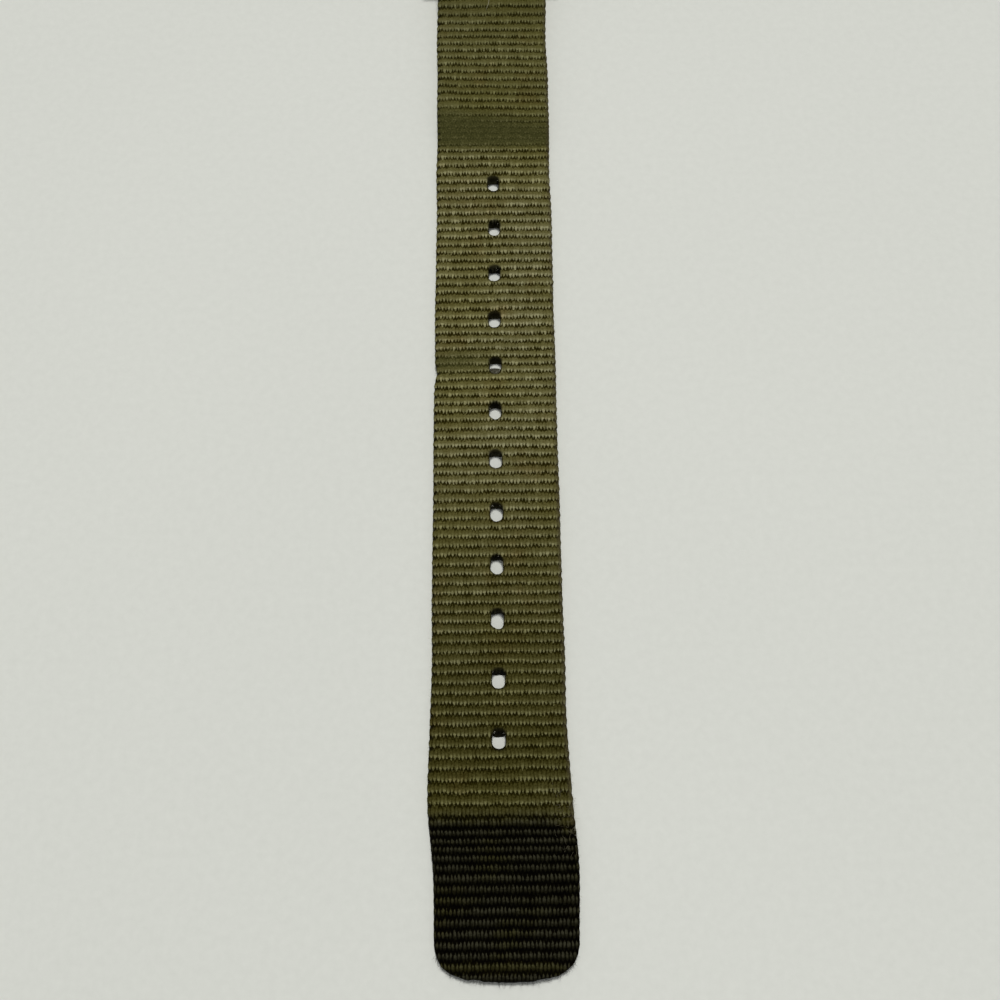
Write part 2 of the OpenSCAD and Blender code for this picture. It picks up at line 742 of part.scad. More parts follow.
module main_plate() {
    foot = [barrel_p, third_p, escape_p, pallet_p, balance_p];
    color("gainsboro") difference() {
        disc(plate_d / 2, plate_z, plate_top);
        disc(cannon_bore_r + turn_gap, plate_z - 1, plate_top + 1);
        disc(minute_distance + minute_teeth * cannon_m / 2 + 0.35, work_z, plate_top + 1);
        at(barrel_p) disc(barrel_drum_r + wheel_gap, plate_z - 1, barrel_z + barrel_h + wheel_gap);
        at(barrel_p) disc(0.5 + turn_gap, plate_z - 1, plate_top + 1);
        for (p = [third_p, escape_p, pallet_p, balance_p]) jewel_bore(p, plate_z - 1, plate_z + jewel_t);
        for (p = concat(barrel_pillars, train_pillars, [cock_foot_p])) at(p)
            disc(screw_d / 2, plate_z - 1, plate_z + 0.8);
        at(pallet_p) rotate(escape_at) for (p = pallet_screws) at(p)
            disc(screw_d / 2, plate_z - 1, plate_z + 0.6);
        translate([stem_start - 0.4, 0, stem_z]) rotate([0, 90, 0])
            cylinder(h = plate_d, r = stem_d / 2 + turn_gap + 0.04);
        translate([sliding_x - wheel_gap, -stem_pinion_d / 2 - wheel_gap, plate_z - 1])
            cube([pocket_end - sliding_x + wheel_gap, stem_pinion_d + 2 * wheel_gap, plate_t + 2]);
    }
    color("gainsboro") at(minute_p) disc(0.2, work_z - 0.1, plate_top + 0.3);
}

// Half of the movement's disc, on the side where y is above the split
module half_disc(r, z0, z1, split) {
    translate([0, 0, z0]) linear_extrude(z1 - z0) intersection() {
        circle(r);
        translate([-r, split]) square([2 * r, r * 2]);
    }
}

module screw_hole(p) {
    at(p) disc(screw_d / 2 + 0.02, bridge_z - 1, plate_z + 1);
    at(p) disc(screw_head_d / 2 + 0.03, bridge_z - 1, bridge_z + screw_head_h + 0.02);
}

module barrel_bridge() {
    color("gainsboro") difference() {
        union() {
            half_disc(bridge_r, bridge_z, bridge_top, bridge_split_y + 0.05);
            for (p = barrel_pillars) at(p) disc(pillar_d / 2, bridge_top - 0.1, plate_z);
        }
        disc(centre_boss_r + 0.1, bridge_z - 1, bridge_top + 1);
        at(barrel_p) disc(0.8 + turn_gap, bridge_z - 1, bridge_top + 1);
        at(reverser_p) disc(pivot_d / 2 + turn_gap, bridge_z - 1, bridge_top + 1);
        at(cock_foot_p) disc(pillar_d / 2 + 0.2, bridge_z - 1, bridge_top + 1);
        for (p = barrel_pillars) screw_hole(p);
    }
}

// The balance cock's outline, grown by a margin
module cock_plan(margin) {
    link(balance_p, cock_foot_p, pillar_d / 2 + 0.15 + margin);
}

module train_bridge() {
    color("gainsboro") difference() {
        union() {
            translate([0, 0, bridge_z]) linear_extrude(bridge_t) difference() {
                union() {
                    intersection() {
                        circle(bridge_r);
                        translate([-bridge_r, bridge_split_y - 0.05 - 2 * bridge_r])
                            square(2 * bridge_r);
                    }
                    circle(centre_boss_r);
                }
                translate(balance_p) circle(balance_r + 0.45);
                link(balance_p, 1.3 * balance_p, balance_r - 0.6);
                cock_plan(0.12);
                link(cock_foot_p, 1.3 * cock_foot_p, pillar_d / 2 + 0.2);
                polygon([balance_p, 1.5 * balance_p, 1.5 * cock_foot_p, cock_foot_p]);
            }
            for (p = train_pillars) at(p) disc(pillar_d / 2, bridge_top - 0.1, plate_z);
        }
        for (p = [[0, 0], third_p, escape_p]) jewel_bore(p, bridge_top - jewel_t, bridge_top + 1);
        for (p = [third_p, escape_p]) at(p) disc(pivot_d / 2 + turn_gap, bridge_z - 1, bridge_top + 1);
        disc(bearing_d / 2 - 0.1, bridge_z - 1, bridge_z + 0.22);
        for (p = train_pillars) screw_hole(p);
    }
}

module pallet_bridge() {
    color("gainsboro") at(pallet_p) rotate(escape_at) difference() {
        union() {
            translate([0, 0, pallet_bridge_z]) linear_extrude(pallet_bridge_t)
                link(pallet_screws[0], pallet_screws[1], 0.6);
            for (p = pallet_screws) at(p) disc(0.55, pallet_bridge_z, plate_z);
        }
        disc(jewel_d / 2, pallet_bridge_z - 1, plate_z - 0.4);
        for (p = pallet_screws) at(p) disc(screw_d / 2 + 0.02, pallet_bridge_z - 1, plate_z + 1);
    }
}

module balance_cock() {
    color("gainsboro") difference() {
        union() {
            translate([0, 0, bridge_z]) linear_extrude(cock_t) cock_plan(0);
            at(cock_foot_p) disc(pillar_d / 2, bridge_z, plate_z);
        }
        jewel_bore(balance_p, bridge_z + cock_t - jewel_t, bridge_z + cock_t + 1);
        at(balance_p) disc(pivot_d / 2 + turn_gap, bridge_z - 1, bridge_z + cock_t + 1);
        screw_hole(cock_foot_p);
    }
}

module jewel(p, z) {
    at(p) ring(jewel_d / 2, pivot_d / 2 + turn_gap, z, z + jewel_t);
}

module jewels() {
    color("crimson") {
        for (p = [third_p, escape_p, pallet_p, balance_p]) jewel(p, plate_z);
        for (p = [[0, 0], third_p, escape_p]) jewel(p, bridge_top - jewel_t);
        jewel(balance_p, bridge_z + cock_t - jewel_t);
        at(pallet_p) ring(
            jewel_d / 2, pivot_d / 2 + turn_gap, pallet_bridge_z, pallet_bridge_z + pallet_bridge_t
        );
    }
}

// A slotted screw, head at the bottom
module screw(p, z0, z1, head_d) {
    at(p) difference() {
        union() {
            disc(head_d / 2, z0, z0 + screw_head_h);
            disc(screw_d / 2, z0, z1);
        }
        translate([-1, -0.09, z0 - 1]) cube([2, 0.18, 1.15]);
    }
}

module bridge_screws() {
    color("steelblue") {
        for (p = concat(barrel_pillars, train_pillars, [cock_foot_p]))
            screw(p, bridge_z + 0.02, plate_z + 0.78, screw_head_d);
        at(pallet_p) rotate(escape_at) for (p = pallet_screws)
            screw(p, pallet_bridge_z - screw_head_h / 2, plate_z + 0.55, screw_d);
    }
}

module rotor_bearing() {
    color("silver") union() {
        disc(bearing_head_d / 2 - 0.6, rotor_z - 0.02, rotor_z + 0.2);
        disc(bearing_d / 2, rotor_z - 0.02, bridge_z);
        disc(bearing_d / 2 - 0.12, rotor_z, bridge_z + 0.2);
    }
}

module hairspring() {
    inner_r = 0.4 + turn_gap + 0.04;
    color("slateblue") at(balance_p) translate([0, 0, hairspring_z]) linear_extrude(hairspring_h)
        rotate(escape_at + 60)
        polygon(spiral_points(inner_r, hairspring_pitch * plan, hairspring_turns, hairspring_t, 28));
}

module date_ring() {
    r_in = date_ring_d / 2 - date_ring_w;
    color("white") translate([0, 0, plate_top + 0.06]) linear_extrude(date_ring_t) difference() {
        circle(date_ring_d / 2);
        circle(r_in);
        for (i = [0:date_teeth - 1]) rotate((i + 0.5) * 360 / date_teeth)
            translate([r_in - 0.3, -0.45]) square([0.75, 0.9]);
    }
}

module hour_wheel() {
    angle = mesh_angle(minute_at + 180, 0, minute_pinion_teeth, hour_teeth);
    color("gold") difference() {
        union() {
            translate([0, 0, work_z + 0.47]) linear_extrude(wheel_t)
                spoked_gear(hour_teeth, hour_module, hour_tube_r + 0.3, 4, angle);
            disc(hour_tube_r, work_z + 0.47, hour_hand_z + hand_t);
        }
        disc(hour_bore_r, 0, 20);
    }
}

// A straight hand with a boss, a pointed end and a slot for its inlay
module hand_plan(length, width, tail, boss_r) {
    circle(boss_r);
    polygon([
        [-tail, -width * 0.3],
        [0, -width * 0.3],
        [length * 0.22, -width / 2],
        [length * 0.82, -width / 2],
        [length, -0.06],
        [length, 0.06],
        [length * 0.82, width / 2],
        [length * 0.22, width / 2],
        [0, width * 0.3],
        [-tail, width * 0.3]
    ]);
}

module hour_hand() {
    color("silver") translate([0, 0, hour_hand_z]) linear_extrude(hand_t) rotate(hour_angle) difference() {
        hand_plan(hour_hand_r, hour_hand_w, 0.4, hour_tube_r + 0.5);
        circle(hour_tube_r);
    }
}

module minute_hand() {
    color("silver") translate([0, 0, minute_hand_z]) linear_extrude(hand_t)
        rotate(minute_angle) difference() {
        hand_plan(minute_hand_r, minute_hand_w, 0.4, cannon_r + 0.55);
        circle(cannon_r);
    }
}

module seconds_hand() {
    color("silver") translate([0, 0, seconds_hand_z]) rotate(second_angle) difference() {
        linear_extrude(hand_t * 0.8) union() {
            circle(0.62);
            translate([-seconds_tail_r, -seconds_hand_w]) square([seconds_tail_r * 0.55, 2 * seconds_hand_w]);
            translate([-seconds_tail_r, -seconds_hand_w / 2])
                square([seconds_tail_r + seconds_hand_r, seconds_hand_w]);
        }
        disc(fourth_arbor_r, -1, 1);
    }
}

module cannon_pinion() {
    color("silver") difference() {
        union() {
            pinion(cannon_teeth, cannon_m, 0, work_z + 0.08, work_z + 0.36);
            disc(cannon_r, work_z + 0.08, minute_hand_z + hand_t);
        }
        disc(cannon_bore_r, 0, 20);
    }
}

module minute_wheel() {
    wheel_angle = mesh_angle(minute_at, 0, cannon_teeth, minute_teeth);
    color("gold") at(minute_p) difference() {
        union() {
            translate([0, 0, work_z + 0.1]) linear_extrude(wheel_t)
                spoked_gear(minute_teeth, cannon_m, 0.7, 4, wheel_angle);
            pinion(minute_pinion_teeth, hour_module, 0, work_z + 0.1, work_z + 0.7);
        }
        disc(0.2 + turn_gap, 0, 20);
    }
}

module centre_wheel() {
    wheel_angle = mesh_angle(third_at + 180, 0, third_pinion_teeth, centre_teeth);
    pinion_angle = mesh_angle(barrel_at + 180, 0, barrel_teeth, centre_pinion_teeth);
    color("gold") difference() {
        union() {
            translate([0, 0, centre_z]) linear_extrude(wheel_t)
                spoked_gear(centre_teeth, centre_module, 1.1, 5, wheel_angle);
            pinion(centre_pinion_teeth, barrel_m, pinion_angle, centre_z, plate_z - 0.06);
            disc(cannon_bore_r, centre_z, minute_hand_z - 0.02);
        }
        disc(centre_tube_r, 0, 20);
    }
}

module fourth_wheel() {
    pinion_angle = mesh_angle(third_at + 180, 0, third_teeth, fourth_pinion_teeth);
    color("gold") union() {
        translate([0, 0, fourth_z]) linear_extrude(wheel_t)
            spoked_gear(fourth_teeth, fourth_m, 0.9, 5, 0);
        pinion(fourth_pinion_teeth, third_module, pinion_angle, bridge_top + 0.06, fourth_z + 0.05);
        disc(fourth_arbor_r, fourth_z, seconds_hand_z + hand_t * 0.8);
        disc(pivot_d / 2, bridge_top - jewel_t * 0.8, fourth_z);
    }
}

module third_wheel() {
    color("gold") at(third_p) union() {
        translate([0, 0, third_z]) linear_extrude(wheel_t)
            spoked_gear(third_teeth, third_module, 0.9, 5, 0);
        pinion(third_pinion_teeth, centre_module, 0, centre_z - 0.12, centre_z + wheel_t + 0.1);
        arbor(bridge_top, plate_z);
    }
}

module escape_wheel() {
    r = escape_r;
    club_tooth = [[-0.02, -0.62], [0.28, -0.1], [0.34, 0], [0.5, -0.05], [0.36, -0.4], [0.5, -0.62]];
    pinion_angle = mesh_angle(escape_at, 0, fourth_teeth, escape_pinion_teeth);
    color("silver") at(escape_p) union() {
        translate([0, 0, escape_z]) linear_extrude(wheel_t) rotate(escape_at + 12) difference() {
            polygon([
                for (i = [0:escape_teeth - 1], c = club_tooth)
                    polar(r + c[1], (i + c[0]) * 360 / escape_teeth)
            ]);
            difference() {
                circle(r - 0.85);
                circle(0.55);
                for (i = [0:3]) rotate(i * 90) translate([0, -0.14]) square([r, 0.28]);
            }
        }
        pinion(escape_pinion_teeth, fourth_m, pinion_angle, fourth_z - 0.08, fourth_z + wheel_t + 0.12);
        arbor(bridge_top, plate_z);
    }
}

module mainspring_barrel() {
    rim_r = barrel_teeth * barrel_m / 2;
    inner_r = barrel_drum_r - barrel_wall;
    color("gold") at(barrel_p) difference() {
        union() {
            translate([0, 0, barrel_z]) linear_extrude(barrel_rim_h)
                polygon(gear_points(barrel_teeth, barrel_m));
            disc(barrel_drum_r, barrel_z, barrel_z + barrel_h);
        }
        disc(inner_r, barrel_z + barrel_wall, barrel_z + barrel_h - barrel_wall * 0.8);
        disc(0.8 + turn_gap, barrel_z - 1, barrel_z + 0.6);
        disc(0.5 + turn_gap, barrel_z, barrel_z + barrel_h + 1);
    }
}

module mainspring() {
    inner_r = barrel_core_d / 2 + turn_gap + 0.04;
    outer_r = barrel_drum_r - barrel_wall - 0.06;
    pitch = (outer_r - inner_r - mainspring_t) / mainspring_turns;
    color("slategray") at(barrel_p) translate([0, 0, barrel_z + barrel_wall + 0.08])
        linear_extrude(barrel_h - 1.8 * barrel_wall - 0.16)
        polygon(spiral_points(inner_r, pitch, mainspring_turns, mainspring_t, 24));
}

module barrel_arbor() {
    drum_z0 = barrel_z + barrel_wall + 0.08;
    drum_z1 = barrel_z + barrel_h - barrel_wall * 0.8 - 0.08;
    color("silver") at(barrel_p) union() {
        disc(0.8, bridge_z + 0.05, drum_z0 + 0.1);
        disc(barrel_core_d / 2, drum_z0, drum_z1);
        disc(0.5, drum_z0, barrel_z + barrel_h + wheel_gap + 0.2);
        disc(0.45, bridge_z - 0.2, bridge_z + 0.1);
    }
}

module ratchet_wheel() {
    angle = mesh_angle(barrel_at + 180 - reverser_to_barrel(), 0, reverser_pinion_teeth, ratchet_teeth);
    color("silver") at(barrel_p) difference() {
        pinion(ratchet_teeth, winding_m, angle, bridge_z - 0.19, bridge_z - 0.05);
        disc(0.45, bridge_z - 1, bridge_z + 1);
    }
}

// The angle at the barrel between the lines to the centre and to the reversing wheel
function reverser_to_barrel() = -asin(reverser_distance * sin(reverser_turn) / ratchet_distance);

module reversing_wheel() {
    to_rotor = reverser_at + 180;
    wheel_angle = mesh_angle(reverser_at, 0, rotor_teeth, reverser_teeth);
    color("gold") at(reverser_p) union() {
        translate([0, 0, rotor_top - 0.18]) linear_extrude(0.12)
            spoked_gear(reverser_teeth, winding_m, 0.75, 5, wheel_angle);
        pinion(reverser_pinion_teeth, winding_m, 0, rotor_top - 0.18, bridge_z - 0.05);
        disc(pivot_d / 2, rotor_top - 0.18, bridge_z + bridge_t * 0.8);
    }
}

// The pallet fork in plan, its pivot at the origin and the balance along +X
module fork_plan() {
    notch = impulse_d / 2 + turn_gap;
    reach = fork_l - impulse_r;
    arm = escape_r * tan(30);
    circle(0.34);
    difference() {
        union() {
            translate([0, -0.11]) square([reach - 0.3, 0.22]);
            translate([reach - 0.55, -0.28]) square([0.66, 0.56]);
        }
        translate([reach - 0.22, -notch]) square([2, 2 * notch]);
    }
    for (s = [-1, 1]) link([0, 0], [-arm * cos(60) + 0.28, s * (arm * sin(60) - 0.02)], 0.14);
}

module pallet_fork() {
    color("silver") at(pallet_p) rotate(escape_at) union() {
        translate([0, 0, fork_z]) linear_extrude(fork_t) fork_plan();
        disc(0.16, pallet_bridge_z + pallet_bridge_t + 0.06, plate_z - 0.06);
        disc(pivot_d / 2, pallet_bridge_z + 0.03, plate_z + jewel_t * 0.8);
    }
}

module pallet_stones() {
    arm = escape_r * tan(30);
    color("crimson") at(pallet_p) rotate(escape_at) for (s = [-1, 1])
        translate([-arm * cos(60) + 0.1, s * (arm * sin(60) + 0.19), fork_z + fork_t / 2])
        rotate(s * 18) cube([0.4, 0.13, fork_t * 0.8], center = true);
}

module balance_wheel() {
    r = balance_r;
    roller_z = fork_z - 0.22;
    color("gold") at(balance_p) rotate(escape_at + 180 + balance_phase) union() {
        ring(r, r - balance_rim_w, balance_z, balance_z + balance_t);
        translate([0, 0, balance_z + 0.1]) linear_extrude(0.16) union() {
            translate([-r + 0.3, -0.22]) square([2 * r - 0.6, 0.44]);
            circle(0.7);
        }
        disc(0.4, hairspring_z - 0.02, hairspring_z + hairspring_h);
        disc(0.24, hairspring_z, plate_z - 0.06);
        disc(pivot_d / 2, bridge_z + cock_t - jewel_t * 0.8, plate_z + jewel_t * 0.8);
        disc(impulse_r + 0.2, roller_z, roller_z + 0.14);
        translate([impulse_r, 0, 0]) disc(impulse_d / 2, roller_z, fork_z + fork_t);
    }
}

module rotor() {
    r = rotor_d / 2;
    color("silver") union() {
        difference() {
            union() {
                translate([0, 0, rotor_z + 0.2]) linear_extrude(rotor_web_t) union() {
                    intersection() {
                        circle(r - rotor_rim_w + 0.2);
                        polygon([[0, 1.6], [-r, 0.6], [-r, -r], [r, -r], [r, 0.6]]);
                    }
                    circle(bearing_head_d / 2);
                }
                translate([0, 0, rotor_z]) linear_extrude(rotor_rim_h) intersection() {
                    difference() {
                        circle(r);
                        circle(r - rotor_rim_w);
                    }
                    translate([-r, -r - 0.2]) square([2 * r, r]);
                }
            }
            disc(bearing_d / 2 + turn_gap, rotor_z - 1, bridge_z + 1);
            disc(bearing_head_d / 2 - 0.6 + turn_gap, rotor_z - 1, rotor_z + 0.2 + turn_gap);
            for (s = [0, 1]) mirror([s, 0, 0]) translate([0, 0, rotor_z - 1]) linear_extrude(3)
                intersection() {
                    difference() {
                        circle(r - rotor_rim_w - 1);
                        circle(4);
                    }
                    polygon([[1, -1.4], [r, -1.6], [r, -r * 0.75], [1, -3.6]]);
                }
        }
        difference() {
            pinion(rotor_teeth, winding_m, 0, rotor_z + 0.2 + rotor_web_t, rotor_top - 0.06);
            disc(bearing_d / 2 + turn_gap, rotor_z - 1, bridge_z + 1);
        }
    }
}

module crown() {
    r = crown_d / 2;
    n = crown_grooves;
    color("silver") translate([crown_x, 0, stem_z]) rotate([0, 90, 0]) difference() {
        union() {
            linear_extrude(crown_l - 0.35) polygon([
                for (i = [0:n - 1], c = [[-0.3, 0], [0.3, 0], [0.42, 1], [0.58, 1]])
                    polar(r - c[1] * crown_groove_depth, (i + c[0]) * 360 / n)
            ]);
            disc(r - crown_groove_depth - 0.2, 0, crown_l);
            disc(r - crown_groove_depth, crown_l - 0.36, crown_l - 0.15);
        }
        disc(crown_seal_r + gasket_w, -1, crown_bore_l);
        disc(stem_d / 2, -1, crown_bore_l + 0.8);
    }
}

module crown_gasket() {
    color("black") translate([crown_x + 0.15, 0, stem_z]) rotate([0, 90, 0])
        ring(crown_seal_r + gasket_w - turn_gap, crown_seal_r, 0, 0.5);
}

module winding_stem() {
    color("silver") translate([0, 0, stem_z]) rotate([0, 90, 0]) union() {
        translate([0, 0, (stem_start + winding_x) / 2])
            cube([stem_d * 0.68, stem_d * 0.68, winding_x - stem_start], center = true);
        disc(stem_d / 2, winding_x - 0.03, crown_x + crown_bore_l + 0.78);
    }
}

module winding_pinion() {
    color("silver") translate([winding_x, 0, stem_z]) rotate([0, 90, 0]) difference() {
        union() {
            pinion(stem_pinion_teeth, stem_pinion_d / (stem_pinion_teeth + 2), 0, 0.25, winding_pinion_l);
            disc(stem_pinion_d / 2 - 0.15, 0, winding_pinion_l);
        }
        disc(stem_d / 2 + turn_gap, -1, winding_pinion_l + 1);
    }
}

module sliding_pinion() {
    r = stem_pinion_d / 2;
    bore = stem_d * 0.68 + 2 * turn_gap;
    color("silver") translate([sliding_x, 0, stem_z]) rotate([0, 90, 0]) difference() {
        union() {
            ring(r, 0.1, 0, sliding_pinion_l * 0.28);
            ring(r - 0.18, 0.1, 0, sliding_pinion_l);
            ring(r, 0.1, sliding_pinion_l * 0.62, sliding_pinion_l);
        }
        cube([bore, bore, 4 * sliding_pinion_l], center = true);
    }
}

// The tube of a spring bar, centred on the X axis
module bar_tube(length) {
    rotate([0, 90, 0]) difference() {
        cylinder(h = length, r = bar_d / 2, center = true);
        cylinder(h = length + 1, r = bar_pin_d / 2 + turn_gap, center = true);
    }
}

// A spring bar's pin on the +X side
module bar_pin(gap) {
    length = bar_pin_bite + bar_pin_tail;
    translate([gap / 2 + bar_pin_bite - length, 0, 0]) rotate([0, 90, 0])
        cylinder(h = length, r = bar_pin_d / 2);
}

module top_bar_tube() {
    color("silver") translate([0, bar_y, bar_z]) bar_tube(lug_gap - 0.4);
}

module top_bar_left_pin() {
    color("silver") translate([0, bar_y, bar_z]) mirror([1, 0, 0]) bar_pin(lug_gap);
}

module top_bar_right_pin() {
    color("silver") translate([0, bar_y, bar_z]) bar_pin(lug_gap);
}

module tail_bar_tube() {
    color("silver") translate([0, -bar_y, bar_z]) bar_tube(lug_gap - 0.4);
}

module tail_bar_left_pin() {
    color("silver") translate([0, -bar_y, bar_z]) mirror([1, 0, 0]) bar_pin(lug_gap);
}

module tail_bar_right_pin() {
    color("silver") translate([0, -bar_y, bar_z]) bar_pin(lug_gap);
}

// Height of the upper face of a strap whose flat run lies at lift, at a distance y from the centre
function strap_top(y, lift) =
    let (bend = ease((y - bar_y - 1.2) / bend_l), weld = ease((y - fold_end_y) / weld_l))
    (bar_z + webbing_t) * (1 - bend) + (lift + 2 * webbing_t) * bend - weld * webbing_t;

// Height of its lower face
function strap_foot(y, lift) =
    let (bend = ease((y - bar_y - 1.2) / bend_l))
    (bar_z - webbing_t) * (1 - bend) + lift * bend;

// The run from the spring bar to end_y, y outwards, with its loop
module strap_run(end_y, lift) {
    start = bar_y + 1.2;
    ys = concat(
        [for (i = [0:10]) start + bend_l * i / 10],
        [for (i = [0:6]) fold_end_y + weld_l * i / 6],
        [end_y]
    );
    translate([-strap_w / 2, 0, 0]) rotate([90, 0, 90]) linear_extrude(strap_w) polygon(concat(
        [for (y = ys) [y, strap_top(y, lift)]],
        [for (i = [len(ys) - 1:-1:0]) [ys[i], strap_foot(ys[i], lift)]]
    ));
    translate([-strap_w / 2, bar_y, bar_z]) rotate([0, 90, 0]) cylinder(h = strap_w, r = loop_r);
}

// A hole along X for a bar at [y, z]
module bar_hole(y, z) {
    translate([-strap_w, y, z]) rotate([0, 90, 0]) cylinder(h = 2 * strap_w, r = loop_hole_r);
}

// The tail in plan, from the case outwards along +Y: its end is a flat arc with two round corners
module tail_plan() {
    c = tip_corner_r;
    half = strap_w / 2;
    arc_y = tail_end_y - tip_arc_r;
    corner_y = arc_y + sqrt((tip_arc_r - c) ^ 2 - (half - c) ^ 2);
    corner_at = atan2(corner_y - arc_y, half - c);
    translate([-half, 0]) square([strap_w, corner_y]);
    for (s = [-1, 1]) translate([s * (half - c), corner_y]) circle(c);
    translate([0, arc_y]) intersection() {
        circle(tip_arc_r, $fn = 180);
        polygon([[0, 0], 2 * polar(tip_arc_r, corner_at), 2 * polar(tip_arc_r, 180 - corner_at)]);
    }
}

module strap_tail() {
    color([0.32, 0.31, 0.18]) mirror([0, 1, 0]) difference() {
        intersection() {
            strap_run(tail_end_y + 1, 0);
            linear_extrude(20) tail_plan();
        }
        bar_hole(bar_y, bar_z);
        for (i = [0:hole_count - 1]) translate([0, hole_y + i * hole_pitch, -1]) linear_extrude(9)
            link([0, (hole_w - hole_l) / 2], [0, (hole_l - hole_w) / 2], hole_w / 2);
    }
}

// The fold at the buckle, with its loop
module buckle_fold() {
    start = buckle_y - buckle_fold_l;
    steps = 6;
    top = [
        for (i = [0:steps])
            [start + weld_l * i / steps, short_lift + webbing_t * (1 + ease(i / steps))]
    ];
    translate([-strap_w / 2, 0, 0]) rotate([90, 0, 90]) linear_extrude(strap_w) polygon(concat(
        [[start - 1, short_lift]],
        top,
        [[buckle_y - 1, short_lift + 2 * webbing_t], [buckle_y - 1, short_lift]]
    ));
    translate([-strap_w / 2, buckle_y, buckle_z]) rotate([0, 90, 0]) cylinder(h = strap_w, r = loop_r);
}

module strap_buckle_side() {
    color([0.32, 0.31, 0.18]) difference() {
        union() {
            strap_run(buckle_y - buckle_fold_l + 1, short_lift);
            buckle_fold();
        }
        bar_hole(bar_y, bar_z);
        bar_hole(buckle_y, buckle_z);
        translate([-tongue_slot_w / 2, buckle_y + loop_r - tongue_slot_l, -1])
            cube([tongue_slot_w, tongue_slot_l + 1, 12]);
    }
}

// A square loop round the strap
module keeper(y) {
    in_w = strap_w + 2 * strap_gap + 0.3;
    translate([0, y + keeper_w / 2, 0]) rotate([90, 0, 0]) linear_extrude(keeper_w) difference() {
        translate([0, keeper_t + keeper_h / 2 - short_lift / 2 + 0.05])
            round_rect(in_w + 2 * keeper_t, keeper_h - short_lift + 2 * keeper_t + 0.1, 0.9);
        translate([0, short_lift - 0.1 + (keeper_h - 1) / 2])
            round_rect(in_w, keeper_h - 1, 0.4);
    }
}

module fixed_keeper() {
    color([0.3, 0.29, 0.17]) keeper(fixed_keeper_y);
}

module free_keeper() {
    color([0.3, 0.29, 0.17]) keeper(free_keeper_y);
}

module buckle_frame() {
    w = buckle_in_w + 2 * buckle_frame_w;
    l = buckle_in_l + buckle_frame_w + 2;
    color("silver") translate([0, buckle_y, buckle_z]) difference() {
        translate([0, l / 2 - 2, -buckle_frame_t / 2]) linear_extrude(buckle_frame_t)
            round_rect(w, l, buckle_corner_r);
        translate([-buckle_in_w / 2, -10, -5]) cube([buckle_in_w, 10 + buckle_in_l, 10]);
        translate([-tongue_w / 2 - 0.15, buckle_in_l - 1, buckle_frame_t / 2 - 0.45])
            cube([tongue_w + 0.3, buckle_frame_w + 2, 1]);
        rotate([0, 90, 0]) cylinder(h = w + 2, r = bar_pin_d / 2, center = true);
    }
}

module buckle_bar() {
    color("silver") translate([0, buckle_y, buckle_z]) rotate([0, 90, 0]) union() {
        cylinder(h = buckle_in_w - 0.1, r = bar_d / 2, center = true);
        cylinder(h = buckle_in_w + 2 * buckle_frame_w - 0.6, r = bar_pin_d / 2, center = true);
    }
}

module buckle_tongue() {
    eye_r = bar_d / 2 + turn_gap;
    reach = buckle_in_l + buckle_frame_w + tongue_over;
    seat = buckle_frame_t / 2 - 0.4;
    color("silver") translate([-tongue_w / 2, buckle_y, buckle_z]) rotate([90, 0, 90])
        linear_extrude(tongue_w) difference() {
            union() {
                circle(eye_r + tongue_t * 0.75);
                polygon([
                    [0, -0.5],
                    [1.6, -0.5],
                    [buckle_in_l - 0.6, seat],
                    [reach, seat],
                    [reach, seat + tongue_t * 0.6],
                    [buckle_in_l, seat + tongue_t],
                    [buckle_in_l - 1.6, seat + tongue_t],
                    [1.6, tongue_t * 0.8],
                    [0, eye_r + 0.6]
                ]);
            }
            circle(eye_r);
        }
}

case_middle();
bezel();
crystal();
case_gaskets();
chapter_ring();
dial();
hour_markers();
case_back();
back_window();
crown_tube();
movement_ring();
main_plate();
barrel_bridge();
train_bridge();
pallet_bridge();
balance_cock();
jewels();
bridge_screws();
rotor_bearing();
hairspring();
date_ring();
hour_wheel();
hour_hand();
cannon_pinion();
minute_hand();
centre_wheel();
minute_wheel();
fourth_wheel();
seconds_hand();
third_wheel();
escape_wheel();
mainspring_barrel();
mainspring();
barrel_arbor();
ratchet_wheel();
pallet_fork();
pallet_stones();
balance_wheel();
rotor();
reversing_wheel();
crown();
crown_gasket();
winding_stem();
winding_pinion();
sliding_pinion();
top_bar_tube();
top_bar_left_pin();
top_bar_right_pin();
tail_bar_tube();
tail_bar_left_pin();
tail_bar_right_pin();
strap_tail();
strap_buckle_side();
fixed_keeper();
free_keeper();
buckle_frame();
buckle_bar();
buckle_tongue();
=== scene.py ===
import math

import bmesh
import bpy
import numpy as np
from mathutils import Matrix, Vector


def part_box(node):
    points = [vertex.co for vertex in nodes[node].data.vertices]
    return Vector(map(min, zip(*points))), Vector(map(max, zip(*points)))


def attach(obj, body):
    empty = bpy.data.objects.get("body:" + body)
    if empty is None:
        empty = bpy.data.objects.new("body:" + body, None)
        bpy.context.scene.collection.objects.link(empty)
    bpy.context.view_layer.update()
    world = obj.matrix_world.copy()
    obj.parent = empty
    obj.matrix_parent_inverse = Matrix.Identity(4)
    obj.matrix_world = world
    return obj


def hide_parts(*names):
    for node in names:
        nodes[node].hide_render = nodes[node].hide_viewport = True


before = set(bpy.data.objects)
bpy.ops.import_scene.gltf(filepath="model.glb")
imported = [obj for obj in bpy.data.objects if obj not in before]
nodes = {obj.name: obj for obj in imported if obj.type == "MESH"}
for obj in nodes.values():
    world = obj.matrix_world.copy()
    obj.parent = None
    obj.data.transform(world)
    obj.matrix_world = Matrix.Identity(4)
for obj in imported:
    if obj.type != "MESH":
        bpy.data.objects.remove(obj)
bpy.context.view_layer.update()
scene = bpy.context.scene
MM = 0.001
MICRON = 0.000001

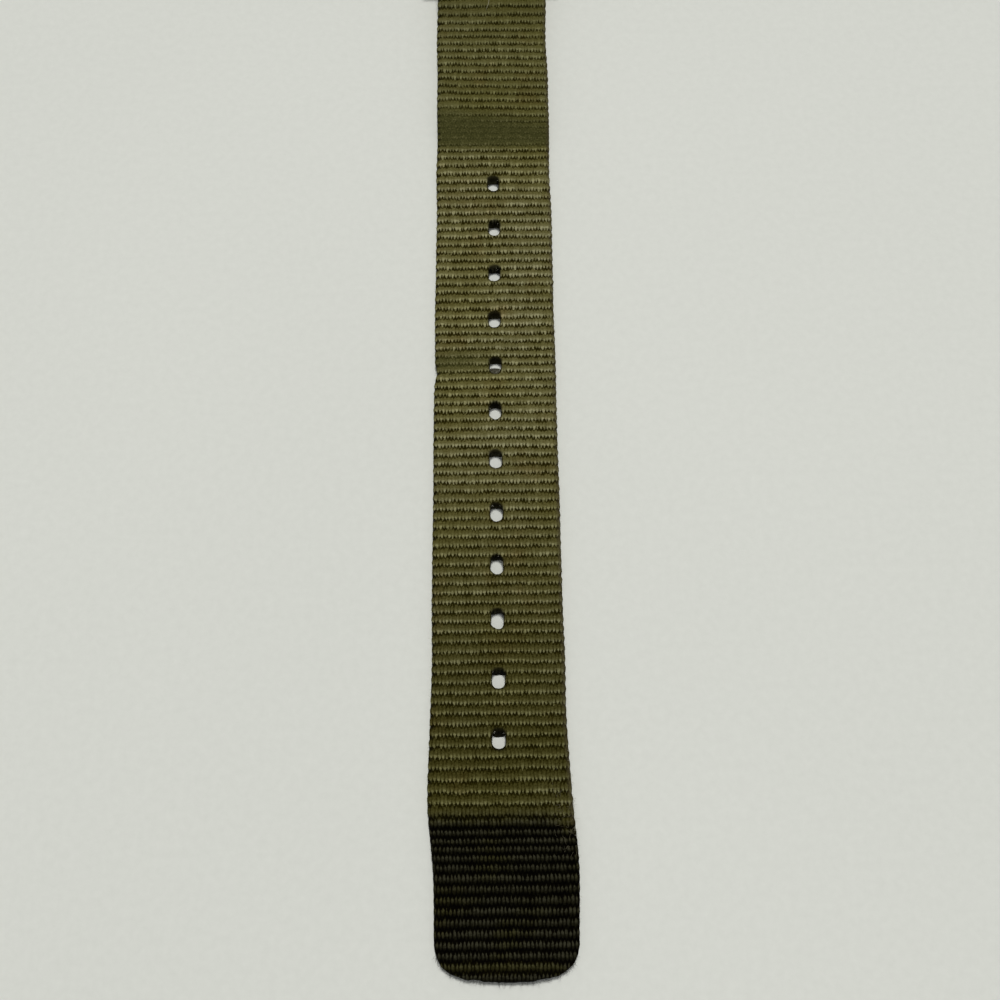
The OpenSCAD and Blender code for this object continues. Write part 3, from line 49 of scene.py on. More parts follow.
# Sizes of the strap in millimetres, the same as the CAD model's
STRAP_W = 18.0
HALF_W = STRAP_W / 2
WEBBING_T = 1.25
BAR_Y, BAR_Z = 20.1, 3.6
LOOP_R, BAR_HOLE_R = 2.1, 0.87
LOOP_MID, LOOP_T = (LOOP_R + BAR_HOLE_R) / 2, LOOP_R - BAR_HOLE_R
BEND_L = 13.0
FOLD_END, WELD_L = 48.5, 7.6
TAIL_END = 174.1
TIP_ARC_R, TIP_CORNER_R = 28.0, 4.0
HOLE_Y, HOLE_PITCH, HOLE_COUNT, HOLE_W, HOLE_L = 61.9, 7.63, 12, 1.75, 2.7
SHORT_LIFT = 1.2
BUCKLE_Y, BUCKLE_FOLD_L = 98.0, 26.0
BUCKLE_Z = SHORT_LIFT + WEBBING_T
SLOT_W, SLOT_L = 2.8, 5.0
KEEPER_T, KEEPER_CORNER_R = 1.1, 0.75
# How far along its path the hidden layer of each half reaches
HIDDEN_L = 30

# The weave: the ribs' pitch, the width of a float (warp yarn that shows between two valleys) and the
# rows of the grid
RIB = 1.37
FLOAT_W = 0.49
ROWS_PER_RIB = 8
ROW = RIB / ROWS_PER_RIB

# How far wear and stretch have carried each hole from its place, along the strap
HOLE_DRIFT = (0.1, 0.4, 0.6, 0.7, 0.5, 0.0, -0.25, -0.1, -0.25, -0.45, -0.2, -0.1)
TORN_HOLE = 4
# Distances along the tail, each with the ribs counted from the first one to it: the worn weave is drawn
# out in places, and packed at the weld, at the fifth hole's crease and at the hard end
ROWS_AT = [(29.7, 0), (36.65, 5), (43.6, 10), (47.7, 13), (50.3, 15), (52.1, 17), (53.9, 19), (56.1, 21),
           (58.9, 23), (61.9, 25), (66.2, 28), (73.1, 33), (81.2, 39), (88.0, 44), (91.7, 47), (95.35, 50),
           (97.85, 52), (104.4, 57), (113.75, 64), (126.85, 74), (140.1, 84), (149.6, 91), (153.9, 94),
           (156.6, 96), (158.6, 98), (160.7, 100), (163.1, 102), (169.4, 107), (173.7, 110.6)]
END_RIB = 1.25

# Where the tail changes, in millimetres along it: how far the weave by the head shows less contrast, and
# how far it is greyer, where the painted shade on the ribs is deeper, where it is darker towards the tip,
# partly its own tone and partly painted shade, and the edge of the end sealed with dark resin
PALE_HEAD = (47.0, 62.0)
GREY_HEAD = (52.0, 62.0)
DEEP_SHADE_BAND = (96.0, 146.0)
TONE_AND_SHADE_TO_TIP = (98.0, 146.0)
DARK_Y = 154.8
# Marks of wear, likewise: the weld's flat band, the buckle's crease, a notch in the left edge, where
# each edge has spread most, and where the end bends to the right, over what length and how far
WELD_BAND = (48.6, 56.0)
CREASE_Y, NOTCH_Y = 92.4, 94
LEFT_SPREAD_Y, RIGHT_SPREAD_Y = 151.5, 158.0
END_BEND_Y, END_BEND_L, END_SHIFT = 153.5, 14, 0.72
# Bands across the strap, in floats from its middle
FRAYED_SIDE = (11.0, 18.0)
LEFT_EDGE = (-18.0, -16.7)
RIGHT_EDGE = (16.9, 18.0)

# The way to the main light, and the camera's place and angles, as the photograph has them
TO_LIGHT = Vector((0.04, 0.7, 1.0))
CAMERA_AT = (0.51, -136.03, 97.8)
CAMERA_TILT, CAMERA_ROLL = 13.134, -0.626
SENSOR_W, LENS = 36.0, 25.2


def srgb(r, g, b):
    """A colour in 0 to 255 sRGB as linear RGBA."""
    def lin(c):
        c /= 255
        return c / 12.92 if c <= 0.04045 else ((c + 0.055) / 1.055) ** 2.4
    return (lin(r), lin(g), lin(b), 1.0)


def shade(colour, factor=1.0):
    """A linear colour made darker or lighter, as RGBA."""
    return (*[min(1, c * factor) for c in colour], 1)


class Mat:
    """A material and short calls that add nodes to it."""

    def __init__(self, name, **surface):
        self.m = bpy.data.materials.new(name)
        self.m.use_nodes = True
        self.t = self.m.node_tree
        self.p = self.t.nodes["Principled BSDF"]
        self.out = self.t.nodes["Material Output"]
        self.link(**surface)

    def link(self, **surface):
        """Sets or links sockets of the surface shader, and returns the material."""
        for key, value in surface.items():
            self.put(self.p.inputs[key.replace("_", " ")], value)
        return self.m

    def put(self, socket, value):
        if isinstance(value, bpy.types.NodeSocket):
            self.t.links.new(value, socket)
        elif value is not None:
            socket.default_value = value

    def node(self, kind, inputs=(), **props):
        n = self.t.nodes.new("ShaderNode" + kind)
        for k, v in props.items():
            setattr(n, k, v)
        for i, v in enumerate(inputs):
            self.put(n.inputs[i], v)
        return n

    def math(self, op, a, b=None, c=None):
        return self.node("Math", (a, b, c), operation=op).outputs[0]

    def plus(self, total, *others):
        for other in others:
            total = self.math("ADD", total, other)
        return total

    def times(self, product, *others):
        for other in others:
            product = self.math("MULTIPLY", product, other)
        return product

    def minus(self, a, b):
        return self.math("SUBTRACT", a, b)

    def about(self, value, amount):
        """A value between 0 and 1 as a change to both sides of zero."""
        return self.times(self.minus(value, 0.5), amount)

    def xyz(self, vector):
        return list(self.node("SeparateXYZ", (vector,)).outputs)

    def coords(self, scale=(1, 1, 1)):
        tc = self.node("TexCoord").outputs["Object"]
        n = self.node("Mapping", (tc,))
        n.inputs["Scale"].default_value = scale
        return n.outputs[0]

    def attribute(self, name, output="Fac"):
        return self.node("Attribute", attribute_name=name).outputs[output]

    def noise(self, scale, detail=2.0, rough=0.5, stretch=(1, 1, 1), at=None, dimensions="3D"):
        """Noise over the object's own space, or over the place that is given."""
        n = self.node("TexNoise", noise_dimensions=dimensions)
        place = self.coords(stretch) if at is None else at
        self.put(n.inputs["W" if dimensions == "1D" else "Vector"], place)
        for key, value in (("Scale", scale), ("Detail", detail), ("Roughness", rough)):
            n.inputs[key].default_value = value
        return n.outputs["Fac"]

    def chance(self, number):
        """A value between 0 and 1 that is the same all over one number."""
        n = self.node("TexWhiteNoise", noise_dimensions="1D")
        self.put(n.inputs["W"], number)
        return n.outputs[0]

    def ramp(self, fac, stops):
        n = self.node("ValToRGB", (fac,))
        e = n.color_ramp.elements
        while len(e) < len(stops):
            e.new(0.5)
        for el, (pos, col) in zip(e, stops):
            el.position = pos
            el.color = col if len(col) == 4 else (*col, 1)
        return n.outputs[0]

    def greys(self, fac, *stops):
        return self.ramp(fac, [(pos, (grey,) * 3) for pos, grey in stops])

    def map_range(self, fac, ends, kind):
        n = self.node("MapRange", interpolation_type=kind)
        self.put(n.inputs["Value"], fac)
        for key, end in zip(("From Min", "From Max", "To Min", "To Max"), ends):
            n.inputs[key].default_value = end
        return n.outputs[0]

    def levels(self, fac, lo, hi):
        return self.map_range(fac, (0.0, 1.0, lo, hi), "LINEAR")

    def window(self, fac, a, b, lo=0.0, hi=1.0):
        """From lo to hi, smoothly, as the value goes from a to b."""
        return self.map_range(fac, (a, b, lo, hi), "SMOOTHSTEP")

    def mix(self, fac, a, b, blend="MIX"):
        n = self.node("Mix", data_type="RGBA", blend_type=blend)
        self.put(n.inputs["Factor"], fac)
        self.put(n.inputs[6], a)
        self.put(n.inputs[7], b)
        return n.outputs[2]

    def dyed(self, base, fac, dye):
        """A colour with some of a dye over it."""
        return self.mix(fac, base, self.mix(1.0, base, dye, "MULTIPLY"))

    def bump(self, height, microns, strength):
        n = self.node("Bump")
        n.inputs["Strength"].default_value = strength
        n.inputs["Distance"].default_value = microns * MICRON
        self.put(n.inputs["Height"], height)
        return n.outputs[0]


def metal(name, colour, rough, grain, stretch=(1, 1, 1), bump=4, spread=0.08, dull=None):
    """A metal with fine grain: blasted where the grain is round, brushed where it is stretched."""
    m = Mat(name, Metallic=1.0)
    fine = m.noise(grain, 3.0, 0.6, stretch)
    broad = m.noise(260.0, 3.0, 0.55)
    base = m.mix(m.window(broad, 0.35, 0.7), shade(dull) if dull else shade(colour, 0.93), shade(colour))
    both = m.plus(m.times(fine, 0.6), m.times(broad, 0.4))
    return m.link(
        Base_Color=m.mix(m.levels(fine, 0.0, 0.25), base, shade(colour, 1.15)),
        Roughness=m.levels(both, rough - spread, rough + spread),
        Normal=m.bump(fine, bump, 0.7),
    )


def plastic(name, colour, rough, grain=9000.0, bump=6, vary=0.12, **surface):
    """A paint, lacquer, rubber or resin with a fine grain and slight mottling."""
    m = Mat(name, **surface)
    fine = m.noise(grain, 2.0)
    broad = m.noise(420.0, 3.0)
    mottle = m.levels(m.times(fine, broad), 0.0, 2.6)
    return m.link(
        Base_Color=m.mix(mottle, shade(colour, 1 - vary), shade(colour, 1 + vary)),
        Roughness=m.levels(broad, rough - 0.07, rough + 0.07),
        Normal=m.bump(fine, bump, 0.6),
    )


def glass(name, tint, rough=0.015):
    """Coated crystal, with a faint smear."""
    m = Mat(name, Transmission_Weight=1.0, IOR=1.25)
    smear = m.noise(180.0, 4.0, 0.6)
    return m.link(
        Base_Color=m.mix(smear, shade(tint), (1, 1, 1, 1)),
        Roughness=m.levels(m.window(smear, 0.5, 0.8), rough, rough + 0.03),
        Normal=m.bump(m.noise(900.0, 2.0), 0.6, 0.4),
    )


def striped_plate(name):
    """Plated brass with broad polished stripes and a fine grain."""
    stripes_per_metre = 520.0
    m = Mat(name, Metallic=1.0)
    x, y, _ = m.xyz(m.coords())
    across = m.plus(m.times(x, 0.8), m.times(y, 0.6))
    stripe = m.math("FRACT", m.times(across, stripes_per_metre))
    crown = m.times(stripe, m.minus(1.0, stripe), 4.0)
    fine = m.noise(5200.0, 2.0, 0.6, (0.15, 1, 1))
    return m.link(
        Base_Color=m.mix(stripe, (0.42, 0.415, 0.4, 1), (0.7, 0.69, 0.66, 1)),
        Roughness=m.levels(m.plus(m.times(stripe, 0.5), m.times(fine, 0.5)), 0.2, 0.42),
        Normal=m.bump(m.plus(m.times(crown, 0.5), m.times(fine, 0.1)), 40, 0.6),
    )


def circular_grain(name, colour, rough):
    """A turned metal with fine rings round the watch's axis."""
    m = Mat(name, Metallic=1.0)
    x, y, _ = m.xyz(m.coords())
    radius = m.math("SQRT", m.plus(m.times(x, x), m.times(y, y)))
    rings = m.noise(9000.0, 3.0, at=radius, dimensions="1D")
    broad = m.noise(300.0, 3.0)
    return m.link(
        Base_Color=m.mix(rings, shade(colour, 0.8), shade(colour)),
        Roughness=m.levels(m.times(m.plus(rings, broad), 0.5), rough - 0.08, rough + 0.1),
        Normal=m.bump(rings, 4, 0.6),
    )


def nearest_float(m, u, v, dark):
    """The float that a point lies on, of its own rib's or the next one's: the rib's number, the way to
    the rib's middle, how deep inside the float the point lies, the float's number, how far the point
    is from the float's middle line, and its place along the float."""
    def floats(row, dy):
        cell = m.plus(u, m.math("FRACT", m.times(row, 0.5)))
        fx = m.math("ABSOLUTE", m.minus(m.math("FRACT", cell), 0.5))
        number = m.plus(m.math("FLOOR", cell), m.times(row, 61.7))
        below = m.math("GREATER_THAN", dy, 0.0)
        notch = m.math("MAXIMUM", m.levels(below, 0.42, 0.76), m.times(dark, 0.8))
        length = m.minus(m.levels(m.chance(m.plus(number, 0.37)), 0.5, 0.7), m.times(dark, 0.03))
        end = m.minus(length, m.times(fx, notch))
        return m.minus(end, m.math("ABSOLUTE", dy)), number, fx

    row = m.math("ROUND", v)
    dy = m.minus(v, row)
    side = m.math("SIGN", dy)
    inside1, number1, fx1 = floats(row, dy)
    inside2, number2, fx2 = floats(m.plus(row, side), m.minus(dy, side))
    near = m.math("GREATER_THAN", inside1, inside2)
    far = m.minus(1.0, near)
    inside = m.math("MAXIMUM", inside1, inside2)
    number = m.plus(m.times(number1, near), m.times(number2, far))
    fx = m.plus(m.times(fx1, near), m.times(fx2, far))
    return row, dy, inside, number, fx, m.minus(dy, m.times(far, side))


def rib_light(m, lower, deep_shade, dark):
    """Painted light and shade along a float's length: even, then with a darker painted shade at the foot on
    the lower part of the tail, and lit from the other side on the sealed end."""
    at = m.plus(lower, 0.5)
    even = m.greys(at, (0.0, 0.52), (0.36, 0.56), (0.5, 0.72), (0.62, 0.86), (0.76, 0.93), (1.0, 0.8))
    steep = m.greys(at, (0.0, 0.3), (0.3, 0.38), (0.48, 0.54), (0.64, 0.82), (0.78, 0.95), (1.0, 0.78))
    sealed = m.greys(at, (0.0, 0.55), (0.14, 0.85), (0.3, 0.96), (0.52, 0.8), (0.75, 0.5), (1.0, 0.3))
    return m.mix(dark, m.mix(deep_shade, even, steep), sealed)


def webbing(name):
    """Warp-rib nylon webbing. The attribute weave holds the float number across the strap, the rib
    number along it, and how far the weave is pressed flat; rim holds how near a sealed hole's edge is,
    for the shade painted nearly black on the holes' walls, and along how far out on the tail a point lies in
    millimetres."""
    m = Mat(name, Specular_IOR_Level=0.02)
    u, v, pressed = m.xyz(m.attribute("weave", "Vector"))
    rim = m.attribute("rim")
    along = m.attribute("along")
    fray = m.noise(1500.0, 3.0, 0.6)
    fleck = m.noise(4300.0, 2.0, 0.6)
    hair = m.noise(26000.0, 1.0, 0.5, (1, 0.2, 1))
    broad = m.noise(70.0, 3.0, 0.55)
    stain = m.noise(160.0, 4.0, 0.6)

    edge = m.plus(along, m.about(fray, 1.8))
    edge = m.minus(edge, m.times(m.window(u, *FRAYED_SIDE), m.levels(fray, -2.0, 4.5)))
    dark = m.window(edge, DARK_Y - 1.6, DARK_Y + 1.7)
    # Where the painted shade is deeper: a darker foot on each float, darker seams and smaller highlights
    deep_shade = m.window(along, *DEEP_SHADE_BAND)
    pale_head = m.window(along, *PALE_HEAD, 1.0, 0.0)
    place = m.node("CombineXYZ", (u, v)).outputs[0]
    u = m.plus(u, m.about(m.noise(0.9, 4.0, at=place, dimensions="2D"), 0.8))

    row, dy, inside, number, fx, lower = nearest_float(m, u, v, dark)
    # Painted shade: dark in the gaps between floats (body) and along the seams between neighbouring floats
    body = m.window(m.plus(inside, m.about(fleck, 0.3)), -0.08, 0.2)
    seam_depth = m.plus(m.levels(dark, 0.14, 0.5), m.times(deep_shade, 0.34))
    seam = m.times(m.math("POWER", m.times(fx, 2.0), 3.0), seam_depth)
    # Painted highlights: a bright bead at the lower end of each float, of random strength
    bead_highlight = m.times(m.levels(m.window(lower, -0.05, 0.2), 0.08, 0.24), m.levels(deep_shade, 1.0, 0.6))
    lit = m.times(body, rib_light(m, lower, deep_shade, dark), m.minus(1.0, seam))
    lit = m.plus(lit, m.about(m.chance(number), bead_highlight))
    lit = m.times(lit, m.levels(m.chance(row), 0.93, 1.04))
    lit = m.plus(m.times(lit, m.minus(1.0, m.times(pale_head, 0.22))), m.times(pale_head, 0.1))
    lit = m.plus(lit, m.about(hair, 0.3), m.about(fleck, m.levels(deep_shade, 0.55, 0.8)))

    # The painted light and shade become colour: from the shaded gaps to the highlights on the floats
    cloth = m.ramp(lit, [
        (0.0, srgb(33, 29, 3)), (0.22, srgb(56, 52, 20)), (0.5, srgb(85, 81, 47)),
        (0.75, srgb(108, 105, 71)), (1.0, srgb(154, 151, 116))])
    cloth = m.dyed(cloth, m.window(broad, 0.35, 0.7, 0.0, 0.4), srgb(226, 222, 160))
    cloth = m.dyed(cloth, m.window(stain, 0.52, 0.74, 0.0, 0.4), srgb(236, 206, 176))
    cloth = m.dyed(cloth, m.window(along, *GREY_HEAD, 0.6, 0.0), srgb(216, 219, 196))
    # Darker towards the tip: partly the webbing's own tone, partly painted shade
    cloth = m.dyed(cloth, m.window(along, *TONE_AND_SHADE_TO_TIP, 0.0, 0.85), srgb(198, 199, 182))
    mottle = m.plus(m.times(lit, 0.3), m.times(fleck, 1.1), m.about(hair, 0.3))
    flat = m.ramp(m.minus(mottle, 0.22), [
        (0.0, srgb(40, 40, 12)), (0.35, srgb(56, 56, 28)), (0.6, srgb(70, 69, 37)),
        (1.0, srgb(108, 104, 70))])
    cloth = m.mix(pressed, cloth, flat)
    left = m.window(u, *LEFT_EDGE, 1.0, 0.0)
    turns = m.times(left, m.window(m.math("ABSOLUTE", dy), 0.24, 0.4))
    cloth = m.mix(m.times(turns, 0.75), cloth, srgb(12, 10, 3))
    cloth = m.mix(m.times(m.window(u, *RIGHT_EDGE), 0.5), cloth, srgb(66, 60, 44))

    # The sealed end's colours, from the same painted light and shade
    tip = m.ramp(lit, [
        (0.0, srgb(2, 1, 0)), (0.3, srgb(8, 7, 2)), (0.65, srgb(22, 21, 12)), (1.0, srgb(50, 49, 37))])
    tip = m.dyed(tip, m.window(stain, 0.45, 0.7, 0.0, 0.5), srgb(255, 250, 120))
    bare = m.times(m.window(edge, TAIL_END - 2.6, TAIL_END - 2.0),
                   m.window(edge, TAIL_END - 1.3, TAIL_END - 0.8, 1.0, 0.0))
    tip = m.mix(m.times(bare, 0.5), tip, m.mix(1.0, cloth, srgb(150, 150, 130), "MULTIPLY"))
    cloth = m.mix(dark, cloth, tip)
    # Painted shade: the holes' walls and edges nearly black
    cloth = m.mix(m.times(rim, 0.92), cloth, srgb(9, 8, 5))

    relief = m.plus(m.times(body, m.minus(1.0, seam)), m.times(hair, 0.15))
    relief = m.times(relief, m.levels(pressed, 1.0, 0.35))
    return m.link(
        Base_Color=cloth,
        Roughness=m.minus(m.levels(fray, 0.6, 0.85), m.times(dark, 0.2)),
        Normal=m.bump(relief, 80, 0.8),
    )


def waves(x, y, seed, size):
    """A smooth unevenness between about -1 and 1, made of six sines. It is the same each time."""
    rng = np.random.default_rng(seed)
    total = 0.0
    for _ in range(6):
        a = rng.uniform(0, 2 * math.pi)
        k = 2 * math.pi / (size * rng.uniform(0.6, 1.6))
        total = total + np.sin(k * (x * math.cos(a) + y * math.sin(a)) + rng.uniform(0, 2 * math.pi))
    return total / 6 * 1.6


def smooth(t):
    t = np.clip(t, 0, 1)
    return t * t * (3 - 2 * t)


def ease(t):
    return float(smooth(np.array(t)))


def bell(t):
    return np.exp(-t ** 2)


def rounded(t, least):
    """A quarter circle: 1 until t is 0, and down to the root of least where t reaches 1."""
    return np.sqrt(np.clip(1 - np.clip(t, 0, 1) ** 2, least, 1))


def lengths_along(points):
    steps = np.linalg.norm(np.diff(points, axis=0), axis=1)
    return np.concatenate([[0], np.cumsum(steps)])


def spline(points, step):
    """Evenly spaced points on a smooth line through the points, and their distances along it."""
    p = np.array(points, float)
    ext = np.vstack([2 * p[0] - p[1], p, 2 * p[-1] - p[-2]])
    out = []
    for i in range(1, len(ext) - 2):
        p0, p1, p2, p3 = ext[i - 1:i + 3]
        for t in np.linspace(0, 1, 24, endpoint=False):
            out.append(0.5 * (2 * p1 + (p2 - p0) * t + (2 * p0 - 5 * p1 + 4 * p2 - p3) * t * t
                              + (3 * p1 - p0 - 3 * p2 + p3) * t ** 3))
    out.append(p[-1])
    out = np.array(out)
    s = lengths_along(out)
    even = np.linspace(0, s[-1], max(2, int(round(s[-1] / step)) + 1))
    return np.column_stack([np.interp(even, s, out[:, k]) for k in range(2)]), even


def add_object(name, data):
    ob = bpy.data.objects.new(name, data)
    scene.collection.objects.link(ob)
    return ob


def add_mesh(name, verts, faces, material, smooth_shade=True, attributes=()):
    """A new object from points in millimetres, faces and point attributes (name, kind, values)."""
    me = bpy.data.meshes.new(name)
    me.from_pydata([tuple(v) for v in (np.asarray(verts) * MM).tolist()], [], faces)
    for label, kind, values in attributes:
        a = me.attributes.new(label, kind, "POINT")
        key = "vector" if kind == "FLOAT_VECTOR" else "value"
        a.data.foreach_set(key, np.asarray(values, np.float32).ravel())
    me.materials.append(material)
    ob = add_object(name, me)
    bm = bmesh.new()
    bm.from_mesh(me)
    bmesh.ops.recalc_face_normals(bm, faces=bm.faces)
    bm.to_mesh(me)
    bm.free()
    if smooth_shade:
        me.polygons.foreach_set("use_smooth", [True] * len(me.polygons))
    return ob


def columns():
    """Positions across the strap, closer by the edges and round the holes."""
    round_hole, between = np.linspace(0, 1.5, 9), np.linspace(1.5, 8.1, 19)[1:]
    xs = np.concatenate([round_hole, between, [8.45, 8.72, 8.88, 8.97, HALF_W]])
    return np.concatenate([-xs[::-1][:-1], xs])


def fit_to_holes(X, S, cut):
    """Moves the grid's points beside a hole onto its outline. Returns the points, the quads that stay
    and the points that lie on an outline."""
    n, m = X.shape
    e = 1e-3
    inside = cut(X, S) < 0
    keep = ~(inside[:-1, :-1] | inside[1:, :-1] | inside[:-1, 1:] | inside[1:, 1:])
    touch = np.zeros((n, m), bool)
    for a in (0, 1):
        for b in (0, 1):
            touch[a:n - 1 + a, b:m - 1 + b] |= ~keep
    on_rim = touch & ~inside
    for _ in range(3):
        d = cut(X, S)
        gx = (cut(X + e, S) - d) / e
        gs = (cut(X, S + e) - d) / e
        g = np.maximum(gx * gx + gs * gs, 1e-6)
        X = np.where(on_rim, X - d * gx / g, X)
        S = np.where(on_rim, S - d * gs / g, S)
    return X, S, keep, on_rim


def sheet_faces(keep):
    """Faces of two layers of one grid, closed round the edges and the holes."""
    n, m = keep.shape[0] + 1, keep.shape[1] + 1
    N = n * m
    idx = np.arange(N).reshape(n, m)
    a, b, c, e = idx[:-1, :-1][keep], idx[1:, :-1][keep], idx[1:, 1:][keep], idx[:-1, 1:][keep]
    quads = [np.stack([a, b, c, e], 1), np.stack([e, c, b, a], 1) + N]
    pad = np.zeros((n + 1, m + 1), bool)
    pad[1:n, 1:m] = keep
    for border, step in ((pad[1:n, 1:] != pad[1:n, :-1], m), (pad[1:, 1:m] != pad[:-1, 1:m], 1)):
        a = idx[np.nonzero(border)]
        quads.append(np.stack([a, a + step, a + step + N, a + N], 1))
    return np.concatenate(quads)


def strip(name, path, mirror, thickness, cut, press, rows, rim_depth, tip=None, wide=None, lean=None):
    """A webbing strip along a path in the plane across the watch, with ribs on both faces. x is across
    the strap, s along the path and q the distance from the watch. cut is negative inside a hole, press
    is 1 where the weave is flat, rows gives the rib's number, tip where a column ends and lean how far
    a hole's wall slants, and wide moves points sideways."""
    edge_round_from, edge_round, end_round = 8.35, 0.68, 0.4
    valley_depth, loop_out, loops_from, fitted_l = 0.2, 0.09, 8.0, 14.0
    pts, s = path
    n, xs = len(s), columns()
    m = len(xs)
    S = np.repeat(s[:, None], m, 1)
    X = np.repeat(xs[None, :], n, 0)
    if tip is not None:
        start = s[-1] - fitted_l
        end = np.repeat(np.array([tip(x) for x in xs])[None, :], n, 0)
        S = np.where(S > start, start + (S - start) * (end - start) / (s[-1] - start), S)
    X, S, keep, on_rim = fit_to_holes(X, S, cut)
    to_hole = np.maximum(cut(X, S), 0)
    rim = np.exp(-to_hole / rim_depth)
    slope = np.zeros((n, m))
    if lean is not None:
        e = 1e-3
        slope = np.where(on_rim, np.clip((cut(X, S) - cut(X, S + e)) / e, 0, 1), 0) * lean(S)

    def on_path(values):
        return np.interp(S.ravel(), s, values).reshape(n, m)

    tangent = np.gradient(pts, s, axis=0)
    tangent /= np.linalg.norm(tangent, axis=1)[:, None]
    q, z = on_path(pts[:, 0]), on_path(pts[:, 1])
    ny, nz = -on_path(tangent[:, 1]), on_path(tangent[:, 0])
    V = rows(X, q, S)
    V = V + 0.05 * waves(X, S, 5, 9.0) + 0.03 * waves(X, S, 6, 3.0)
    pressed = press(X, q, S)
    gap = np.abs(X)
    side = rounded((gap - edge_round_from) / edge_round, 0.06)
    closing = rounded((end_round - S) / end_round, 0.05)
    closing *= rounded((S - S[-1][None, :] + end_round) / end_round, 0.05)
    valley = np.abs(2 * (V - np.round(V))) ** 2.4 * valley_depth * (1 - 0.9 * pressed) * (1 - 0.75 * rim)
    half_t = on_path(thickness(pts[:, 0], s)) / 2
    h = np.maximum((half_t - valley - 0.10 * pressed - 0.05 * rim) * side * closing, 0.02)
    uneven = 1 + 0.9 * waves(V, np.sign(X), 13, 2.6)
    if mirror:
        uneven = uneven * (1 - 0.55 * smooth((q - DARK_Y) / 2))
    ribs = 0.5 + 0.5 * np.cos(2 * math.pi * V)
    loops = loop_out * uneven * (ribs - 0.5) * smooth((gap - loops_from) / 0.9) * (1 - 0.6 * pressed)
    Xs = X + np.sign(X) * loops
    if wide is not None:
        Xs = wide(Xs, q)
    sy = -1 if mirror else 1
    top = np.stack([Xs, sy * (q + ny * h), z + nz * h], 2)
    bottom = np.stack([Xs, sy * (q + slope - ny * h), z - nz * h], 2)
    verts = np.concatenate([top.reshape(-1, 3), bottom.reshape(-1, 3)])

    weave = np.stack([X / FLOAT_W, V, pressed], 2).reshape(-1, 3)
    weave = np.concatenate([weave, weave + np.array([0.25, 0.5, 0])])
    along = np.concatenate([q.ravel()] * 2) if mirror else np.zeros(2 * n * m)
    # For the painted shade in the holes: near the edge on the top face, and the whole wall's foot below
    rims = np.concatenate([(np.exp(-to_hole / 0.07) * 0.9).ravel(), on_rim.ravel()])
    faces = sheet_faces(keep)
    used = np.unique(faces)
    remap = np.zeros(2 * n * m, int)
    remap[used] = np.arange(len(used))
    return add_mesh(
        name, verts[used], remap[faces].tolist(), nylon,
        attributes=[("weave", "FLOAT_VECTOR", weave[used]), ("rim", "FLOAT", rims[used]),
                    ("along", "FLOAT", along[used])],
    )


def strap_top(y, lift):
    bend, weld = ease((y - BAR_Y - 1.2) / BEND_L), ease((y - FOLD_END) / WELD_L)
    return (BAR_Z + WEBBING_T) * (1 - bend) + (lift + 2 * WEBBING_T) * bend - weld * WEBBING_T


def strap_foot(y, lift):
    bend = ease((y - BAR_Y - 1.2) / BEND_L)
    return (BAR_Z - WEBBING_T) * (1 - bend) + lift * bend


def loop_points(cy, cz, a0, a1, steps=16):
    """Points round a bar, on the middle line of the webbing."""
    return [(cy + LOOP_MID * math.cos(a), cz + LOOP_MID * math.sin(a))
            for a in np.radians(np.linspace(a0, a1, steps))]


def fold_points(lift, end):
    """From the fold's hidden end, back round the spring bar and out along the upper layer."""
    half = WEBBING_T / 2
    low = [(y, strap_foot(y, lift) + half) for y in np.arange(FOLD_END + 4.6, BAR_Y + 4.0, -1.6)]
    high = [(y, strap_top(y, lift) - half) for y in np.arange(BAR_Y + 4.0, FOLD_END + WELD_L + 1, 1.2)]
    run = [(y, lift + half) for y in np.arange(FOLD_END + WELD_L + 2, end, 3.0)]
    return low + loop_points(BAR_Y, BAR_Z, 310, 50) + high + run


def fold_thickness(q, s, lift):
    """The webbing's thickness, with the fold's end pressed into the weld and the loop round the bar."""
    room = np.array([strap_top(y, lift) - strap_foot(y, lift) - WEBBING_T for y in q])
    t = np.where((s < 12) & (q > FOLD_END), np.clip(room, 0.12, WEBBING_T), WEBBING_T)
    return np.where(q < BAR_Y + 1.0, LOOP_T, t)


def hole_at(i):
    return HOLE_Y + i * HOLE_PITCH + HOLE_DRIFT[i]


def slot_distance(x, y, cy):
    a = (HOLE_L - HOLE_W) / 2
    dy = np.abs(y - cy)
    return np.hypot(x, np.maximum(dy - a, 0)) - HOLE_W / 2


def tail_tip(x):
    """Where the tail ends: a flat arc with two round corners."""
    c, half = TIP_CORNER_R, HALF_W
    arc_y = TAIL_END - TIP_ARC_R
    corner_y = arc_y + math.sqrt((TIP_ARC_R - c) ** 2 - (half - c) ** 2)
    corner_x = (half - c) * TIP_ARC_R / (TIP_ARC_R - c)
    x = min(abs(x), half)
    if x <= corner_x:
        return arc_y + math.sqrt(TIP_ARC_R ** 2 - x * x)
    return corner_y + math.sqrt(max(c * c - (x - half + c) ** 2, 0))


def ragged_tip(x):
    """The cut end: its outline with the small waves that the heat left."""
    return tail_tip(x) + float(0.1 * waves(x, 0.0, 15, 2.2) + 0.07 * waves(x, 0.0, 16, 0.8)) + 0.15


# Materials, and the CAD pieces that wear each
def dress(material, *names):
    for name in names:
        me = nodes[name].data
        me.materials.clear()
        me.materials.append(material)
    return material


